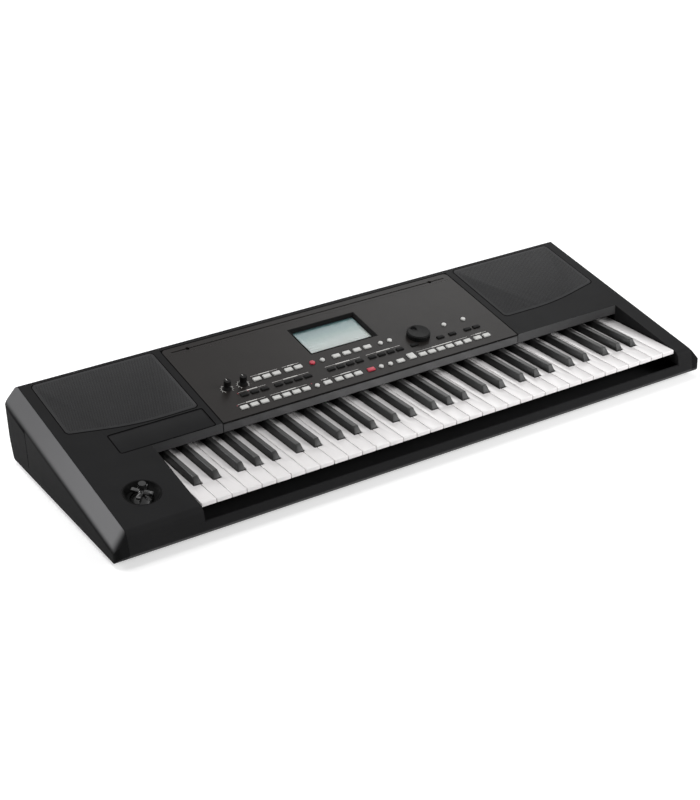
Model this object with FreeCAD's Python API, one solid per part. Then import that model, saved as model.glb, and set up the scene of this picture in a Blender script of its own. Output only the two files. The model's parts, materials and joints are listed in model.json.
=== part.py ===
import FreeCAD, Part
import math
import os

# Arranger keyboard with 61 keys, in millimetres.
# X runs along the keys to the player's right, Y from the player to the back, Z up.
# The origin is on the table, under the middle of the case.

V = FreeCAD.Vector

# Case
width = 1030.0
depth = 384.0
rear_top_height = 123.4
top_slope = 0.194
rear_edge_setback = 11.0
belly_height = 72.0
base_height = 8.0
toe_height = 20.0
toe_setback = 12.0
heel_setback = 14.0
front_lean = 6.0
rail_height = 32.0
case_wall = 3.2
nose_radius = 12.0
rear_edge_radius = 5.0
belly_radius = 40.0
toe_radius = 6.0
heel_radius = 6.0
end_cap_width = 19.4
cap_chamfer_drop = 25.0
cap_edge_radius = 24.0
cap_front_radius = 15.0
cap_rear_radius = 8.0
cap_pocket_front = 70.0
cap_pocket_rear = 12.0
cap_seam_width = 1.6
cap_seam_depth = 1.2
cap_seam_from_rear = 76.0
left_block_width = 135.3
right_block_width = 48.7
fit_gap = 0.5
cut_overrun = 5.0
round_sides = 12
knob_sides = 24
dial_sides = 48
dome_sides = 32
speaker_sides = 20
foot_sides = 24

# Keys
white_pitch = 23.5
part_key_share = 0.4
key_gap = 1.0
white_top_height = 56.1
white_lip_thickness = 6.9
white_front_setback = 13.5
white_skin = 2.2
white_front_radius = 1.2
black_front_setback = 62.5
black_base_width = 12.0
black_top_width = 7.4
black_rise = 10.4
black_rear_rise = 9.4
black_front_rake = 6.5
black_slot_gap = 1.2
black_offset_two = 3.4
black_offset_three = 4.6
well_gap = 1.6
fascia_bottom_height = 66.8
pivot_behind_fascia = 76.5
key_dip = 10.0
pivot_bead = 6.0
pivot_clearance = 0.45
pivot_drop = 6.4
pivot_hub_length = 13.0
key_tongue_width = 5.0
key_tongue_thickness = 2.5
key_foot_length = 9.0
key_foot_thickness = 2.0
stop_clearance = 0.35
tongue_gap = 1.0

# Key frame
frame_sheet = 2.0
frame_floor_height = 28.0
frame_front_setback = 74.0
frame_tail = 14.0
frame_post_columns = 3
felt_width = 5.0
felt_thickness = 1.9
contact_board_width = 46.0
contact_board_thickness = 1.6
contact_board_from_pivot = 34.0
contact_board_rise = 7.0
contact_dome_length = 16.0
contact_web_thickness = 1.0
contact_web_length = 30.0
spring_from_pivot = 13.0
spring_width = 6.0
spring_sheet = 0.8
pocket_end_from_pivot = 20.0

# Control panel
panel_width = 532.0
panel_length = 205.0
panel_rear_margin = 11.25
panel_thickness = 3.0
panel_corner_radius = 8.0
panel_seam = 1.1
rest_rail_seam = 0.2
ledge_width = 4.5
ledge_thickness = 2.2
rest_rail_length = 19.0
rest_groove_width = 2.2
rest_groove_depth = 1.4
rest_groove_margin = 12.0
rest_socket_radius = 3.5
rest_socket_depth = 13.0
rest_socket_wall = 3.0
rest_socket_from_end = 40.5
board_drop = 15.0
board_thickness = 1.6
board_margin = 11.0
boss_size = 5.4
white_cap_length = 12.4
white_cap_width = 7.4
black_cap_length = 12.4
black_cap_width = 6.4
big_cap_width = 13.0
big_cap_offset = 3.4
round_cap_radius = 3.9
red_cap_radius = 4.6
cap_height = 2.4
cap_tail = 10.4
cap_edge_chamfer = 0.9
cap_hole_gap = 0.45
cap_travel = 0.8
button_pitch = 17.0
page_pitch = 19.0
switch_size = 6.2
switch_clearance = 0.35
dial_radius = 18.6
dial_height = 9.0
dial_dish_depth = 1.4
dial_dimple_radius = 5.4
dial_dimple_depth = 1.2
dial_dimple_angle = 110.0
dial_edge = 1.6
knob_radius = 6.6
knob_height = 15.0
knob_skirt_height = 4.5
knob_neck_radius = 5.2
knob_pointer_width = 1.4
knob_pointer_depth = 0.7
shaft_radius = 3.0
shaft_hole_gap = 0.5
knob_lift = 0.6
pot_size = 17.0
pot_height = 8.0
pot_clearance = 0.4

# Gaps before the groups of a row on the panel, as shares of the row's free width
lower_gap_shares = (0.23872, 0.04874, 0.05470, 0.05025, 0.04736, 0.06661, 0.04948, 0.05218,
                    0.05802, 0.04191, 0.04496)
middle_gap_shares = (0.23670, 0.04965, 0.12451, 0.04747, 0.06388, 0.16022, 0.04511, 0.07360, 0.01981)
upper_gap_shares = (0.14430, 0.05242, 0.04712, 0.03239, 0.05373, 0.03567, 0.05647, 0.05358, 0.09918,
                    0.12311, 0.11136)

# Places on the panel, as shares of its width from the middle and of its length from the front
boss_row_shares = (0.166, 0.430, 0.868)
boss_column_shares = (-0.451, -0.232, 0.0, 0.244, 0.451)
lower_row_share = 0.099
middle_row_share = 0.232
upper_row_share = 0.367
knob_row_share = 0.355
dial_row_share = 0.327
display_centre_share = 0.650

# Display
display_width = 123.0
display_length = 75.0
display_recess = 5.4
display_slope = 3.2
display_lip = 0.4
display_wall = 2.0
display_glass = 1.8

# Speakers and grilles
grille_inner_gap = 14.0
grille_outer_margin = 18.0
grille_rear_margin = 10.5
grille_inner_length = 154.0
grille_outer_length = 131.0
grille_bow_share = 0.06073
grille_corner_radius = 7.0
grille_front_radius = 380.0
grille_thickness = 2.2
grille_proud = 0.5
grille_gap = 1.2
speaker_radius = 52.0
speaker_hole_radius = 46.0
speaker_depth = 26.0
speaker_flange = 3.0
speaker_neck_radius = 22.0
speaker_magnet_radius = 34.0
speaker_magnet_height = 16.0
cone_wall = 1.2
cone_depth = 16.0
cone_throat_radius = 12.0
cone_gap = 0.6

# Bare plate on the left block
plate_from_seam = 67.6
plate_width = 45.0
plate_thickness = 1.6
plate_inset = 0.4
plate_gap = 0.9
plate_from_panel = 12.0
plate_from_fascia = 1.0
plate_corner_radius = 3.0

# Joystick
stick_from_left = 75.2
stick_depth_share = 0.45047
cup_radius = 27.0
cup_floor_radius = 21.5
cup_depth = 10.5
cup_wall = 2.0
cup_flange = 33.0
cup_flange_thickness = 2.0
stick_pivot_drop = 24.0
stick_dome_radius = 20.0
stick_dome_gap = 0.6
stick_dome_base = 9.0
stick_post_radius = 4.6
stick_cap_radius = 6.4
stick_height = 16.0
stick_cap_height = 7.0
stick_arm_width = 6.0
stick_arm_thickness = 4.2
stick_arm_reach = 15.5
stick_arm_height = 1.0
stick_block = 22.0
stick_block_drop = 8.0
ring_outer = 40.0
ring_inner = 28.6
ring_thickness = 5.0
ring_pin_radius = 2.0
ring_pin_gap = 0.08
ring_pin_length = 6.0
can_half = 30.0
can_wall = 3.0
can_depth_share = 0.6147
cup_rim = 1.0

# Rear sockets
bay_from_left = 143.0
bay_length = 290.0
bay_bottom_height = 22.0
bay_height = 34.0
bay_plate_setback = 11.5
bay_plate_thickness = 2.5
jack_count = 5
jack_pitch = 30.0
jack_first = 24.0
jack_block = 16.0
jack_block_depth = 34.0
jack_radius = 3.2
jack_bore_depth = 31.0
usb_from_left = 186.0
usb_pitch = 27.0
usb_mouth_width = 13.2
usb_mouth_height = 5.8
usb_square = 9.2
usb_shell = 1.0
usb_depth = 15.0
usb_back = 1.4
inlet_from_left = 240.0
inlet_block = 12.0
inlet_radius = 2.8
inlet_depth = 11.0
inlet_pin_radius = 1.0
power_from_left = 268.0
power_size = 12.0
power_proud = 4.0
power_tail = 9.0
power_gap = 0.4
power_flange = 1.2
socket_gap = 0.2

# Boards inside
main_board_length = 260.0
main_board_width = 96.0
main_board_from_left = 135.0
main_board_rear_gap = 42.0
amp_board_length = 150.0
amp_board_width = 90.0
amp_board_from_left = 555.0
inner_board_height = 19.0
inner_board_thickness = 1.6
chip_height = 4.0
heatsink_height = 26.0
heatsink_length = 90.0
heatsink_width = 18.0
heatsink_fin = 2.0
heatsink_fin_count = 6
post_size = 8.0

# Feet and screws
foot_radius = 14.0
foot_from_end = 60.0
foot_from_front = 48.0
foot_from_rear = 46.0
screw_radius = 1.6
screw_head_radius = 3.4
screw_head_height = 2.2
screw_reach = 0.8
screw_gap = 0.15

# Worked-out places
front_y = -depth / 2
rear_y = depth / 2
rear_edge_y = rear_y - rear_edge_setback
tilt = math.atan(top_slope)
seam_x = width / 2 - end_cap_width
keys_left = -width / 2 + left_block_width
white_count = round((width - left_block_width - right_block_width) / white_pitch - part_key_share)
keys_right = keys_left + white_count * white_pitch
well_left = keys_left - well_gap
well_right = keys_right + well_gap
fascia_y = rear_edge_y - panel_rear_margin - panel_length * math.cos(tilt)
pivot_y = fascia_y + pivot_behind_fascia
lip_height = white_top_height - white_lip_thickness
pivot_z = lip_height - pivot_drop + pivot_bead / 2 + frame_sheet
dip_angle = math.degrees(math.atan(key_dip / (pivot_y - front_y - white_front_setback)))
bay_left = -width / 2 + bay_from_left
main_board_left = -width / 2 + main_board_from_left
amp_board_left = -width / 2 + amp_board_from_left


def top_z(y):
    """Height of the sloping top at a depth."""
    return rear_top_height + (y - rear_edge_y) * top_slope


def parting_z(y):
    """Height of the seam between the two halves of the case at a depth."""
    return rail_height + (y - front_y) * (belly_height - rail_height) / depth


def key_drop(y):
    """How far a fully pressed key has moved down at a depth."""
    return (pivot_y - y) * math.tan(math.radians(dip_angle))


def box(x0, x1, y0, y1, z0, z1):
    return Part.makeBox(x1 - x0, y1 - y0, z1 - z0, V(x0, y0, z0))


def cylinder(radius, length, x, y, z):
    return Part.makeCylinder(radius, length, V(x, y, z))


def ring_points(radius, x, y, z, sides):
    turn = 2 * math.pi / sides
    return [V(x + radius * math.cos(i * turn), y + radius * math.sin(i * turn), z) for i in range(sides)]


def small_round(radius, length, x, y, z, sides=round_sides):
    """A small round bar, with few sides."""
    points = ring_points(radius, x, y, z, sides)
    return Part.Face(Part.makePolygon(points + points[:1])).extrude(V(0, 0, length))


def group(solids):
    return Part.makeCompound(solids)


def fuse(first, others):
    return first.fuse(others).removeSplitter()


def inset(points, distance):
    """The points of a convex outline, given anticlockwise, moved inwards."""
    lines = []
    for i, (ax, ay) in enumerate(points):
        bx, by = points[(i + 1) % len(points)]
        length = math.hypot(bx - ax, by - ay)
        nx, ny = -(by - ay) / length, (bx - ax) / length
        lines.append((nx, ny, nx * ax + ny * ay + distance))
    moved = []
    for i in range(len(lines)):
        a1, b1, c1 = lines[i - 1]
        a2, b2, c2 = lines[i]
        det = a1 * b2 - a2 * b1
        moved.append(((c1 * b2 - c2 * b1) / det, (a1 * c2 - a2 * c1) / det))
    return moved


def rounded_wire(points, radii, place):
    """A closed outline with round corners; place turns a flat point into a vector."""
    corners = []
    for i, (px, py) in enumerate(points):
        ax, ay = points[i - 1]
        bx, by = points[(i + 1) % len(points)]
        before = (ax - px, ay - py)
        after = (bx - px, by - py)
        la, lb = math.hypot(*before), math.hypot(*after)
        ua = (before[0] / la, before[1] / la)
        ub = (after[0] / lb, after[1] / lb)
        half = math.acos(max(-1, min(1, ua[0] * ub[0] + ua[1] * ub[1]))) / 2
        radius = radii[i]
        if radius == 0:
            corners.append(((px, py), None, (px, py)))
            continue
        run = radius / math.tan(half)
        mid = (ua[0] + ub[0], ua[1] + ub[1])
        lm = math.hypot(*mid)
        reach = radius / math.sin(half) - radius
        corners.append(((px + ua[0] * run, py + ua[1] * run),
                        (px + mid[0] / lm * reach, py + mid[1] / lm * reach),
                        (px + ub[0] * run, py + ub[1] * run)))
    edges = []
    for i, (start, middle, end) in enumerate(corners):
        if middle is not None:
            edges.append(Part.Arc(place(*start), place(*middle), place(*end)).toShape())
        following = corners[(i + 1) % len(corners)][0]
        edges.append(Part.makeLine(place(*end), place(*following)))
    return Part.Wire(edges)


def prism_x(points, x0, x1, radii=None):
    """A side outline in Y and Z, drawn out along X."""
    radii = radii or [0] * len(points)
    wire = rounded_wire(points, radii, lambda y, z: V(x0, y, z))
    return Part.Face(wire).extrude(V(x1 - x0, 0, 0))


def prism_z(points, z0, z1, radii=None):
    """A plan outline in X and Y, drawn out along Z."""
    radii = radii or [0] * len(points)
    wire = rounded_wire(points, radii, lambda x, y: V(x, y, z0))
    return Part.Face(wire).extrude(V(0, 0, z1 - z0))


def turned(points, sides):
    """A half outline of radius and height, turned about the Z axis in a number of flat sides."""
    rings = [ring_points(r, 0, 0, z, sides) if r else [V(0, 0, z)] * sides for r, z in points]
    faces = []
    for i, lower in enumerate(rings):
        upper = rings[(i + 1) % len(rings)]
        radius, next_radius = points[i][0], points[(i + 1) % len(rings)][0]
        if radius == 0 and next_radius == 0:
            continue
        flat = points[i][1] == points[(i + 1) % len(rings)][1]
        if flat and min(radius, next_radius) == 0:
            whole = lower if radius else upper
            faces.append(Part.Face(Part.makePolygon(whole + whole[:1])))
            continue
        for j in range(sides):
            k = (j + 1) % sides
            corners = [lower[j], lower[k], upper[k], upper[j]]
            if radius == 0:
                corners = [lower[j], upper[k], upper[j]]
            elif next_radius == 0:
                corners = [lower[j], lower[k], upper[j]]
            faces.append(Part.Face(Part.makePolygon(corners + corners[:1])))
    shell = Part.makeShell(faces)
    shell.sewShape()
    solid = Part.makeSolid(shell)
    if solid.Volume < 0:
        solid.reverse()
    return solid


def on_top(shape, x, y):
    """Sets a shape made flat at the origin on the sloping top."""
    placed = shape.copy()
    turn = FreeCAD.Rotation(V(1, 0, 0), math.degrees(tilt))
    placed.Placement = FreeCAD.Placement(V(x, y, top_z(y)), turn).multiply(shape.Placement)
    return placed


def on_panel(shape):
    """Sets a shape drawn flat, with the panel's front edge on the X axis, on the panel."""
    return on_top(shape, 0, fascia_y)


def save(name, shape):
    shape.exportStep("parts/" + name + ".step")


def case_outline():
    """The side outline of the whole case, anticlockwise, with its corner radii."""
    nose_y = front_y + front_lean
    points = [(front_y + toe_setback, base_height),
              (rear_y - heel_setback, base_height),
              (rear_y, belly_height),
              (rear_edge_y, rear_top_height),
              (nose_y, top_z(nose_y)),
              (front_y, toe_height)]
    radii = [toe_radius, heel_radius, belly_radius, rear_edge_radius, nose_radius, toe_radius]
    return points, radii


def case_block(x0, x1):
    points, radii = case_outline()
    return prism_x(points, x0, x1, radii)


def case_cavity(x0, x1, wall):
    points, radii = case_outline()
    return prism_x(inset(points, wall), x0, x1)


def seam_wedge(x0, x1, above):
    """Everything above or below the seam between the two halves of the case."""
    near, far = front_y - depth, rear_y + depth
    limit = rear_top_height + depth if above else -depth
    points = [(near, parting_z(near)), (far, parting_z(far)), (far, limit), (near, limit)]
    return prism_x(points, x0, x1)


def panel_rect(u0, u1, v0, v1, w0, w1):
    return on_panel(box(u0, u1, v0, v1, w0, w1))


def grille_outline(side, grow):
    """Outline of a grille in the plane of the panel: square at the back, bowed at the front."""
    rear_v = (rear_edge_y - fascia_y) / math.cos(tilt) - grille_rear_margin
    inner_u = panel_width / 2 + grille_inner_gap
    outer_u = seam_x - grille_outer_margin
    inner_v = rear_v - grille_inner_length
    outer_v = rear_v - grille_outer_length
    bow = grille_bow_share * (outer_u - inner_u)
    middle = ((inner_u + outer_u) / 2, (inner_v + outer_v) / 2 - bow)
    points = [(inner_u, inner_v), middle, (outer_u, outer_v), (outer_u, rear_v), (inner_u, rear_v)]
    points = inset(points, -grow)
    corner = grille_corner_radius
    radii = [corner, grille_front_radius, corner, corner, corner]
    if side < 0:
        points = [(-u, v) for u, v in reversed(points)]
        radii = list(reversed(radii))
    return points, radii


def grille_plate(side, grow, w0, w1):
    points, radii = grille_outline(side, grow)
    return on_panel(prism_z(points, w0, w1, radii))


def speaker_place(side):
    """Middle of a speaker in the plane of the panel."""
    points, radii = grille_outline(side, 0)
    us = [u for u, v in points]
    vs = [v for u, v in points]
    return (min(us) + max(us)) / 2, (min(vs) + max(vs)) / 2


def on_speaker(shape, side):
    u, v = speaker_place(side)
    placed = shape.copy()
    placed.translate(V(u, v, 0))
    return on_panel(placed)


def plate_outline(grow):
    u1 = -panel_width / 2 - plate_from_panel + grow
    u0 = -seam_x + plate_from_seam - grow
    v0 = plate_from_fascia - grow
    v1 = v0 + plate_width + 2 * grow
    return [(u0, v0), (u1, v0), (u1, v1), (u0, v1)]


stick_x = -width / 2 + stick_from_left
stick_y = front_y + stick_depth_share * (fascia_y - front_y)
can_depth = can_depth_share * top_z(stick_y)
under_panel = -panel_thickness
board_top = -board_drop
board_bottom = board_top - board_thickness
rest_rail_v = panel_length - rest_rail_length
panel_half = panel_width / 2


def upper_case():
    shell = case_block(-seam_x, seam_x).common(seam_wedge(-width, width, True))
    inside = fascia_y + case_wall
    low, high = -depth, rear_top_height + depth
    hollow = case_cavity(-seam_x - cut_overrun, seam_x + cut_overrun, case_wall)
    rear = hollow.common(box(-width, width, inside, rear_y, low, high))
    left = hollow.common(box(-width, well_left - case_wall, front_y, rear_y, low, high))
    right = hollow.common(box(well_right + case_wall, width, front_y, rear_y, low, high))
    well = box(well_left, well_right, front_y - cut_overrun, fascia_y, low, high)
    under = box(well_left, well_right, fascia_y - cut_overrun, inside + cut_overrun, low,
                fascia_bottom_height)
    shell = shell.cut([rear, left, right, well, under])
    ledge_front = (case_wall + ledge_width + panel_seam) / math.cos(tilt)
    ledge = panel_rect(-panel_half - ledge_width, panel_half + ledge_width, ledge_front,
                       panel_length + ledge_width, under_panel - ledge_thickness, under_panel)
    shell = shell.fuse(ledge)
    opening = panel_rect(-panel_half - panel_seam, panel_half + panel_seam, -cut_overrun,
                         panel_length + panel_seam, under_panel, cut_overrun)
    inner = panel_rect(-panel_half + ledge_width, panel_half - ledge_width, 0,
                       panel_length - ledge_width, -board_drop, 0)
    middle = box(-panel_half - panel_seam, panel_half + panel_seam, fascia_y - cut_overrun,
                 inside + ledge_width, low, top_z(inside))
    recess = grille_proud - grille_thickness
    cuts = [opening, inner, middle]
    for side in (-1, 1):
        cuts.append(grille_plate(side, grille_gap, recess, cut_overrun))
        hole = small_round(speaker_hole_radius, 2 * cut_overrun, 0, 0, -2 * cut_overrun, speaker_sides)
        cuts.append(on_speaker(hole, side))
    cuts.append(on_top(small_round(cup_radius + fit_gap, 4 * cut_overrun, 0, 0, -2 * cut_overrun, dial_sides),
                       stick_x, stick_y))
    plate_radii = [plate_corner_radius] * 4
    cuts.append(on_panel(prism_z(plate_outline(plate_gap), -plate_thickness - plate_inset, cut_overrun,
                                 plate_radii)))
    return shell.cut(cuts).removeSplitter()


def foot_places():
    xs = (-width / 2 + foot_from_end, width / 2 - foot_from_end)
    ys = (front_y + foot_from_front, rear_y - foot_from_rear)
    return [(x, y) for x in xs for y in ys]


def key_frame_limits():
    """Ends, front and back of the pressed frame that carries the keys."""
    return (well_left + fit_gap, well_right - fit_gap, front_y + frame_front_setback,
            pivot_y + frame_tail)


def frame_posts():
    """Places where the key frame is screwed to the bottom of the case."""
    x0, x1, y0, y1 = key_frame_limits()
    count = frame_post_columns
    xs = [x0 + (x1 - x0) * (2 * i + 1) / (2 * count) for i in range(count)]
    behind_board = (contact_y1 + pivot_y - spring_from_pivot) / 2
    ys = (y0 + key_foot_length + 2 * post_size, behind_board)
    return [(x, y) for x in xs for y in ys]


def board_posts():
    """Corner posts under the two boards on the bottom of the case."""
    places = []
    rear = rear_y - main_board_rear_gap
    for left, length, across in ((main_board_left, main_board_length, main_board_width),
                                 (amp_board_left, amp_board_length, amp_board_width)):
        for x in (left + post_size, left + length - post_size):
            for y in (rear - across + post_size, rear - post_size):
                places.append((x, y))
    return places


bay_right = bay_left + bay_length
bay_top = bay_bottom_height + bay_height
plate_outer_y = rear_y - bay_plate_setback
plate_inner_y = plate_outer_y - bay_plate_thickness
floor_z = base_height + case_wall


def lower_case():
    shell = case_block(-seam_x, seam_x).common(seam_wedge(-width, width, False))
    shell = shell.cut(case_cavity(-seam_x - cut_overrun, seam_x + cut_overrun, case_wall))
    hood = box(bay_left - case_wall, bay_right + case_wall, plate_inner_y, rear_y,
               bay_bottom_height - case_wall, bay_top + case_wall)
    hood = hood.common(case_block(-seam_x, seam_x))
    parts = [hood]
    for x, y in frame_posts():
        parts.append(centred_box(x, y, post_size, post_size, floor_z, frame_floor_height))
    for x, y in board_posts():
        parts.append(centred_box(x, y, post_size, post_size, floor_z, inner_board_height))
    shell = shell.fuse(parts)
    cuts = [box(bay_left, bay_right, plate_inner_y - cut_overrun, rear_y + cut_overrun,
                bay_bottom_height, bay_top)]
    for x, y in frame_posts():
        cuts.append(small_round(screw_radius + screw_gap, frame_floor_height, x, y,
                                base_height - cut_overrun))
    return shell.cut(cuts).removeSplitter()


def end_cap(side):
    """One end of the case: the full side outline with a wide bevel along its top edge."""
    outer = width / 2
    cap = case_block(seam_x, outer)
    bevel_run = end_cap_width + cut_overrun
    bevel_drop = cap_chamfer_drop * bevel_run / end_cap_width
    far = depth
    wire = Part.makePolygon([V(seam_x, -far, 0), V(seam_x + bevel_run, -far, -bevel_drop),
                             V(seam_x + bevel_run, -far, far), V(seam_x, -far, far), V(seam_x, -far, 0)])
    bevel = on_panel(Part.Face(wire).extrude(V(0, 2 * far, 0)))
    cap = cap.cut(bevel)
    along = V(0, math.cos(tilt), math.sin(tilt))
    ridge = [edge for edge in cap.Edges if min(vertex.X for vertex in edge.Vertexes) > outer - fit_gap
             and edge.Length > depth / 2 and edge.tangentAt(edge.FirstParameter).cross(along).Length < 1 / far]
    cap = cap.makeFillet(cap_edge_radius, ridge)
    plan = [(seam_x, front_y), (outer, front_y), (outer, rear_y), (seam_x, rear_y)]
    cap = cap.common(prism_z(plan, 0, far, [0, cap_front_radius, cap_rear_radius, 0]))
    pocket_front = front_y + cap_pocket_front
    pocket_rear = rear_edge_y - cap_pocket_rear
    pocket_roof = cap_chamfer_drop + case_wall
    pocket = prism_x([(pocket_front, floor_z), (pocket_rear, floor_z),
                      (pocket_rear, top_z(pocket_rear) - pocket_roof),
                      (pocket_front, top_z(pocket_front) - pocket_roof)],
                     seam_x - cut_overrun, outer - case_wall)
    groove_y = rear_y - cap_seam_from_rear
    groove = box(outer - cap_seam_depth, outer + cut_overrun, groove_y - cap_seam_width, groove_y,
                 toe_height, top_z(groove_y) - cap_chamfer_drop - 2 * cap_seam_width)
    cap = cap.cut([pocket, groove]).removeSplitter()
    if side < 0:
        cap = cap.mirror(V(0, 0, 0), V(1, 0, 0))
    return cap


def front_fascia():
    """Strip below the front edge of the panel, with the shelf that carries the panel."""
    def under(y):
        return top_z(y) - panel_thickness / math.cos(tilt)
    shelf = ledge_thickness / math.cos(tilt)
    inner = fascia_y + case_wall
    back = inner + ledge_width
    points = [(fascia_y, fascia_bottom_height), (inner, fascia_bottom_height),
              (inner, under(inner) - shelf), (back, under(back) - shelf), (back, under(back)),
              (fascia_y, under(fascia_y))]
    return prism_x(points, -panel_half, panel_half)


def name_plate():
    radii = [plate_corner_radius] * 4
    return on_panel(prism_z(plate_outline(0), -plate_thickness - plate_inset, -plate_inset, radii))


def speaker_basket():
    """Pressed basket with its magnet, hanging under the top of the case."""
    top = -case_wall
    flange = top - speaker_flange
    neck = flange - speaker_depth
    points = [(speaker_hole_radius, top), (speaker_radius, top), (speaker_radius, flange),
              (speaker_magnet_radius, neck), (speaker_magnet_radius, neck - speaker_magnet_height),
              (0, neck - speaker_magnet_height), (0, neck), (speaker_neck_radius, neck),
              (speaker_hole_radius, flange)]
    return turned(points, speaker_sides)


def speaker_cone():
    top = -case_wall - cone_gap
    rim = speaker_hole_radius - cone_gap
    points = [(cone_throat_radius, top - cone_depth), (rim - cone_depth, top - cone_wall),
              (rim, top - cone_wall), (rim, top), (rim - cone_depth, top),
              (cone_throat_radius, top - cone_depth + cone_wall), (0, top - cone_depth + cone_wall),
              (0, top - cone_depth)]
    return turned(points, speaker_sides)


def spread(blocks, gap_shares):
    """Places of a row of groups, each as count, pitch and cap length, with the free width shared out."""
    free = panel_width - sum((count - 1) * pitch + length for count, pitch, length in blocks)
    u = -panel_half
    places = []
    for (count, pitch, length), gap_share in zip(blocks, gap_shares):
        u += gap_share * free + length / 2
        places.append([u + i * pitch for i in range(count)])
        u = places[-1][-1] + length / 2
    return places


lower_v = lower_row_share * panel_length
middle_v = middle_row_share * panel_length
upper_v = upper_row_share * panel_length
small_round_cap = 2 * round_cap_radius
lower_blocks = [(count, button_pitch, white_cap_length) for count in (3, 4)]
lower_blocks += [(1, button_pitch, small_round_cap)]
lower_blocks += [(count, button_pitch, white_cap_length) for count in (1, 3, 1)]
lower_blocks += [(2, button_pitch, small_round_cap)]
lower_blocks += [(count, button_pitch, white_cap_length) for count in (1, 1, 6, 2)]
lower_row = spread(lower_blocks, lower_gap_shares)
middle_counts = (3, 4, 4, 4, 1, 1, 1, 1, 1)
middle_row = spread([(count, button_pitch, black_cap_length) for count in middle_counts], middle_gap_shares)
upper_blocks = [(1, button_pitch, 2 * knob_radius)] * 2
upper_blocks += [(count, button_pitch, white_cap_length) for count in (3, 2)]
upper_blocks += [(1, button_pitch, 2 * red_cap_radius), (1, button_pitch, small_round_cap)]
upper_blocks += [(4, page_pitch, white_cap_length), (2, button_pitch, small_round_cap)]
upper_blocks += [(1, button_pitch, 2 * dial_radius)] + [(1, button_pitch, small_round_cap)] * 2
upper_row = spread(upper_blocks, upper_gap_shares)
lower_left = lower_row[0] + lower_row[1]
lower_round, lower_red, lower_pair = lower_row[2], lower_row[5], lower_row[6]
lower_middle = lower_row[3] + lower_row[4]
lower_big = lower_row[8]
lower_right = lower_row[7] + lower_row[9] + lower_row[10]
middle_left = middle_row[0] + middle_row[1]
middle_right = sum(middle_row[2:], [])
volume_row, balance_row = upper_row[:2]
upper_left = upper_row[2] + upper_row[3]
upper_red, upper_round, upper_page, upper_pair, dial_row = upper_row[4:9]
far_rounds = upper_row[9] + upper_row[10]
white = (white_cap_length, white_cap_width)
black = (black_cap_length, black_cap_width)
big_v = lower_v + big_cap_offset

# Each group of buttons: its caps as place along, place across and cap size
rect_groups = {
    "style_buttons": [(u, lower_v) + white for u in lower_left],
    "sequencer_buttons": [(u, lower_v) + white for u in lower_middle],
    "part_buttons": [(u, lower_v) + white for u in lower_right]
    + [(lower_big[0], big_v, white_cap_length, big_cap_width)],
    "ensemble_buttons": [(u, upper_v) + white for u in upper_left],
    "page_buttons": [(u, upper_v) + white for u in upper_page],
    "style_bank_buttons": [(u, middle_v) + black for u in middle_left],
    "sound_bank_buttons": [(u, middle_v) + black for u in middle_right],
}
red_square = (lower_red[0], lower_v) + white
red_round = (upper_red[0], upper_v)
small_rounds = [(u, lower_v) for u in lower_round + lower_pair]
small_rounds += [(u, upper_v) for u in upper_round + upper_pair + far_rounds]
volume_place = (volume_row[0], knob_row_share * panel_length)
balance_place = (balance_row[0], knob_row_share * panel_length)
dial_place = (dial_row[0], dial_row_share * panel_length)
display_v = display_centre_share * panel_length


def centred_box(u, v, length, across, w0, w1):
    return box(u - length / 2, u + length / 2, v - across / 2, v + across / 2, w0, w1)


def rectangle(u, v, length, across, w):
    a, b = length / 2, across / 2
    return Part.makePolygon([V(u - a, v - b, w), V(u + a, v - b, w), V(u + a, v + b, w),
                             V(u - a, v + b, w), V(u - a, v - b, w)])


def taper(u, v, length, across, shrink, w0, w1):
    """A block whose four sides lean inwards towards the top."""
    base = rectangle(u, v, length, across, w0)
    top = rectangle(u, v, length - 2 * shrink, across - 2 * shrink, w1)
    return Part.makeLoft([base, top], True, True)


def bevelled(stem):
    """A push button's cap: the stem with its top edges bevelled."""
    top = [edge for edge in stem.Edges if edge.BoundBox.ZMin > cap_height - cap_edge_chamfer]
    return on_panel(stem.makeChamfer(cap_edge_chamfer, top))


def rect_cap(u, v, length, across):
    return bevelled(centred_box(u, v, length, across, -cap_tail, cap_height))


def round_cap(u, v, radius):
    return bevelled(small_round(radius, cap_tail + cap_height, u, v, -cap_tail))


def control_panel():
    plate = box(-panel_half, panel_half, 0, rest_rail_v - rest_rail_seam, under_panel, 0)
    bosses = [centred_box(column * panel_width, row * panel_length, boss_size, boss_size, board_top,
                          under_panel)
              for row in boss_row_shares for column in boss_column_shares]
    plate = plate.fuse(bosses)
    low, high = under_panel - cut_overrun, cut_overrun
    cuts = []
    caps = [cap for caps in rect_groups.values() for cap in caps] + [red_square]
    for u, v, length, across in caps:
        cuts.append(centred_box(u, v, length + 2 * cap_hole_gap, across + 2 * cap_hole_gap, low, high))
    rounds = [(u, v, round_cap_radius) for u, v in small_rounds] + [red_round + (red_cap_radius,)]
    for u, v, radius in rounds:
        cuts.append(small_round(radius + cap_hole_gap, high - low, u, v, low))
    for u, v in (volume_place, balance_place, dial_place):
        cuts.append(small_round(shaft_radius + shaft_hole_gap, high - low, u, v, low))
    cuts.append(centred_box(0, display_v, display_width, display_length, low, high))
    return on_panel(plate.cut(cuts))


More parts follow.
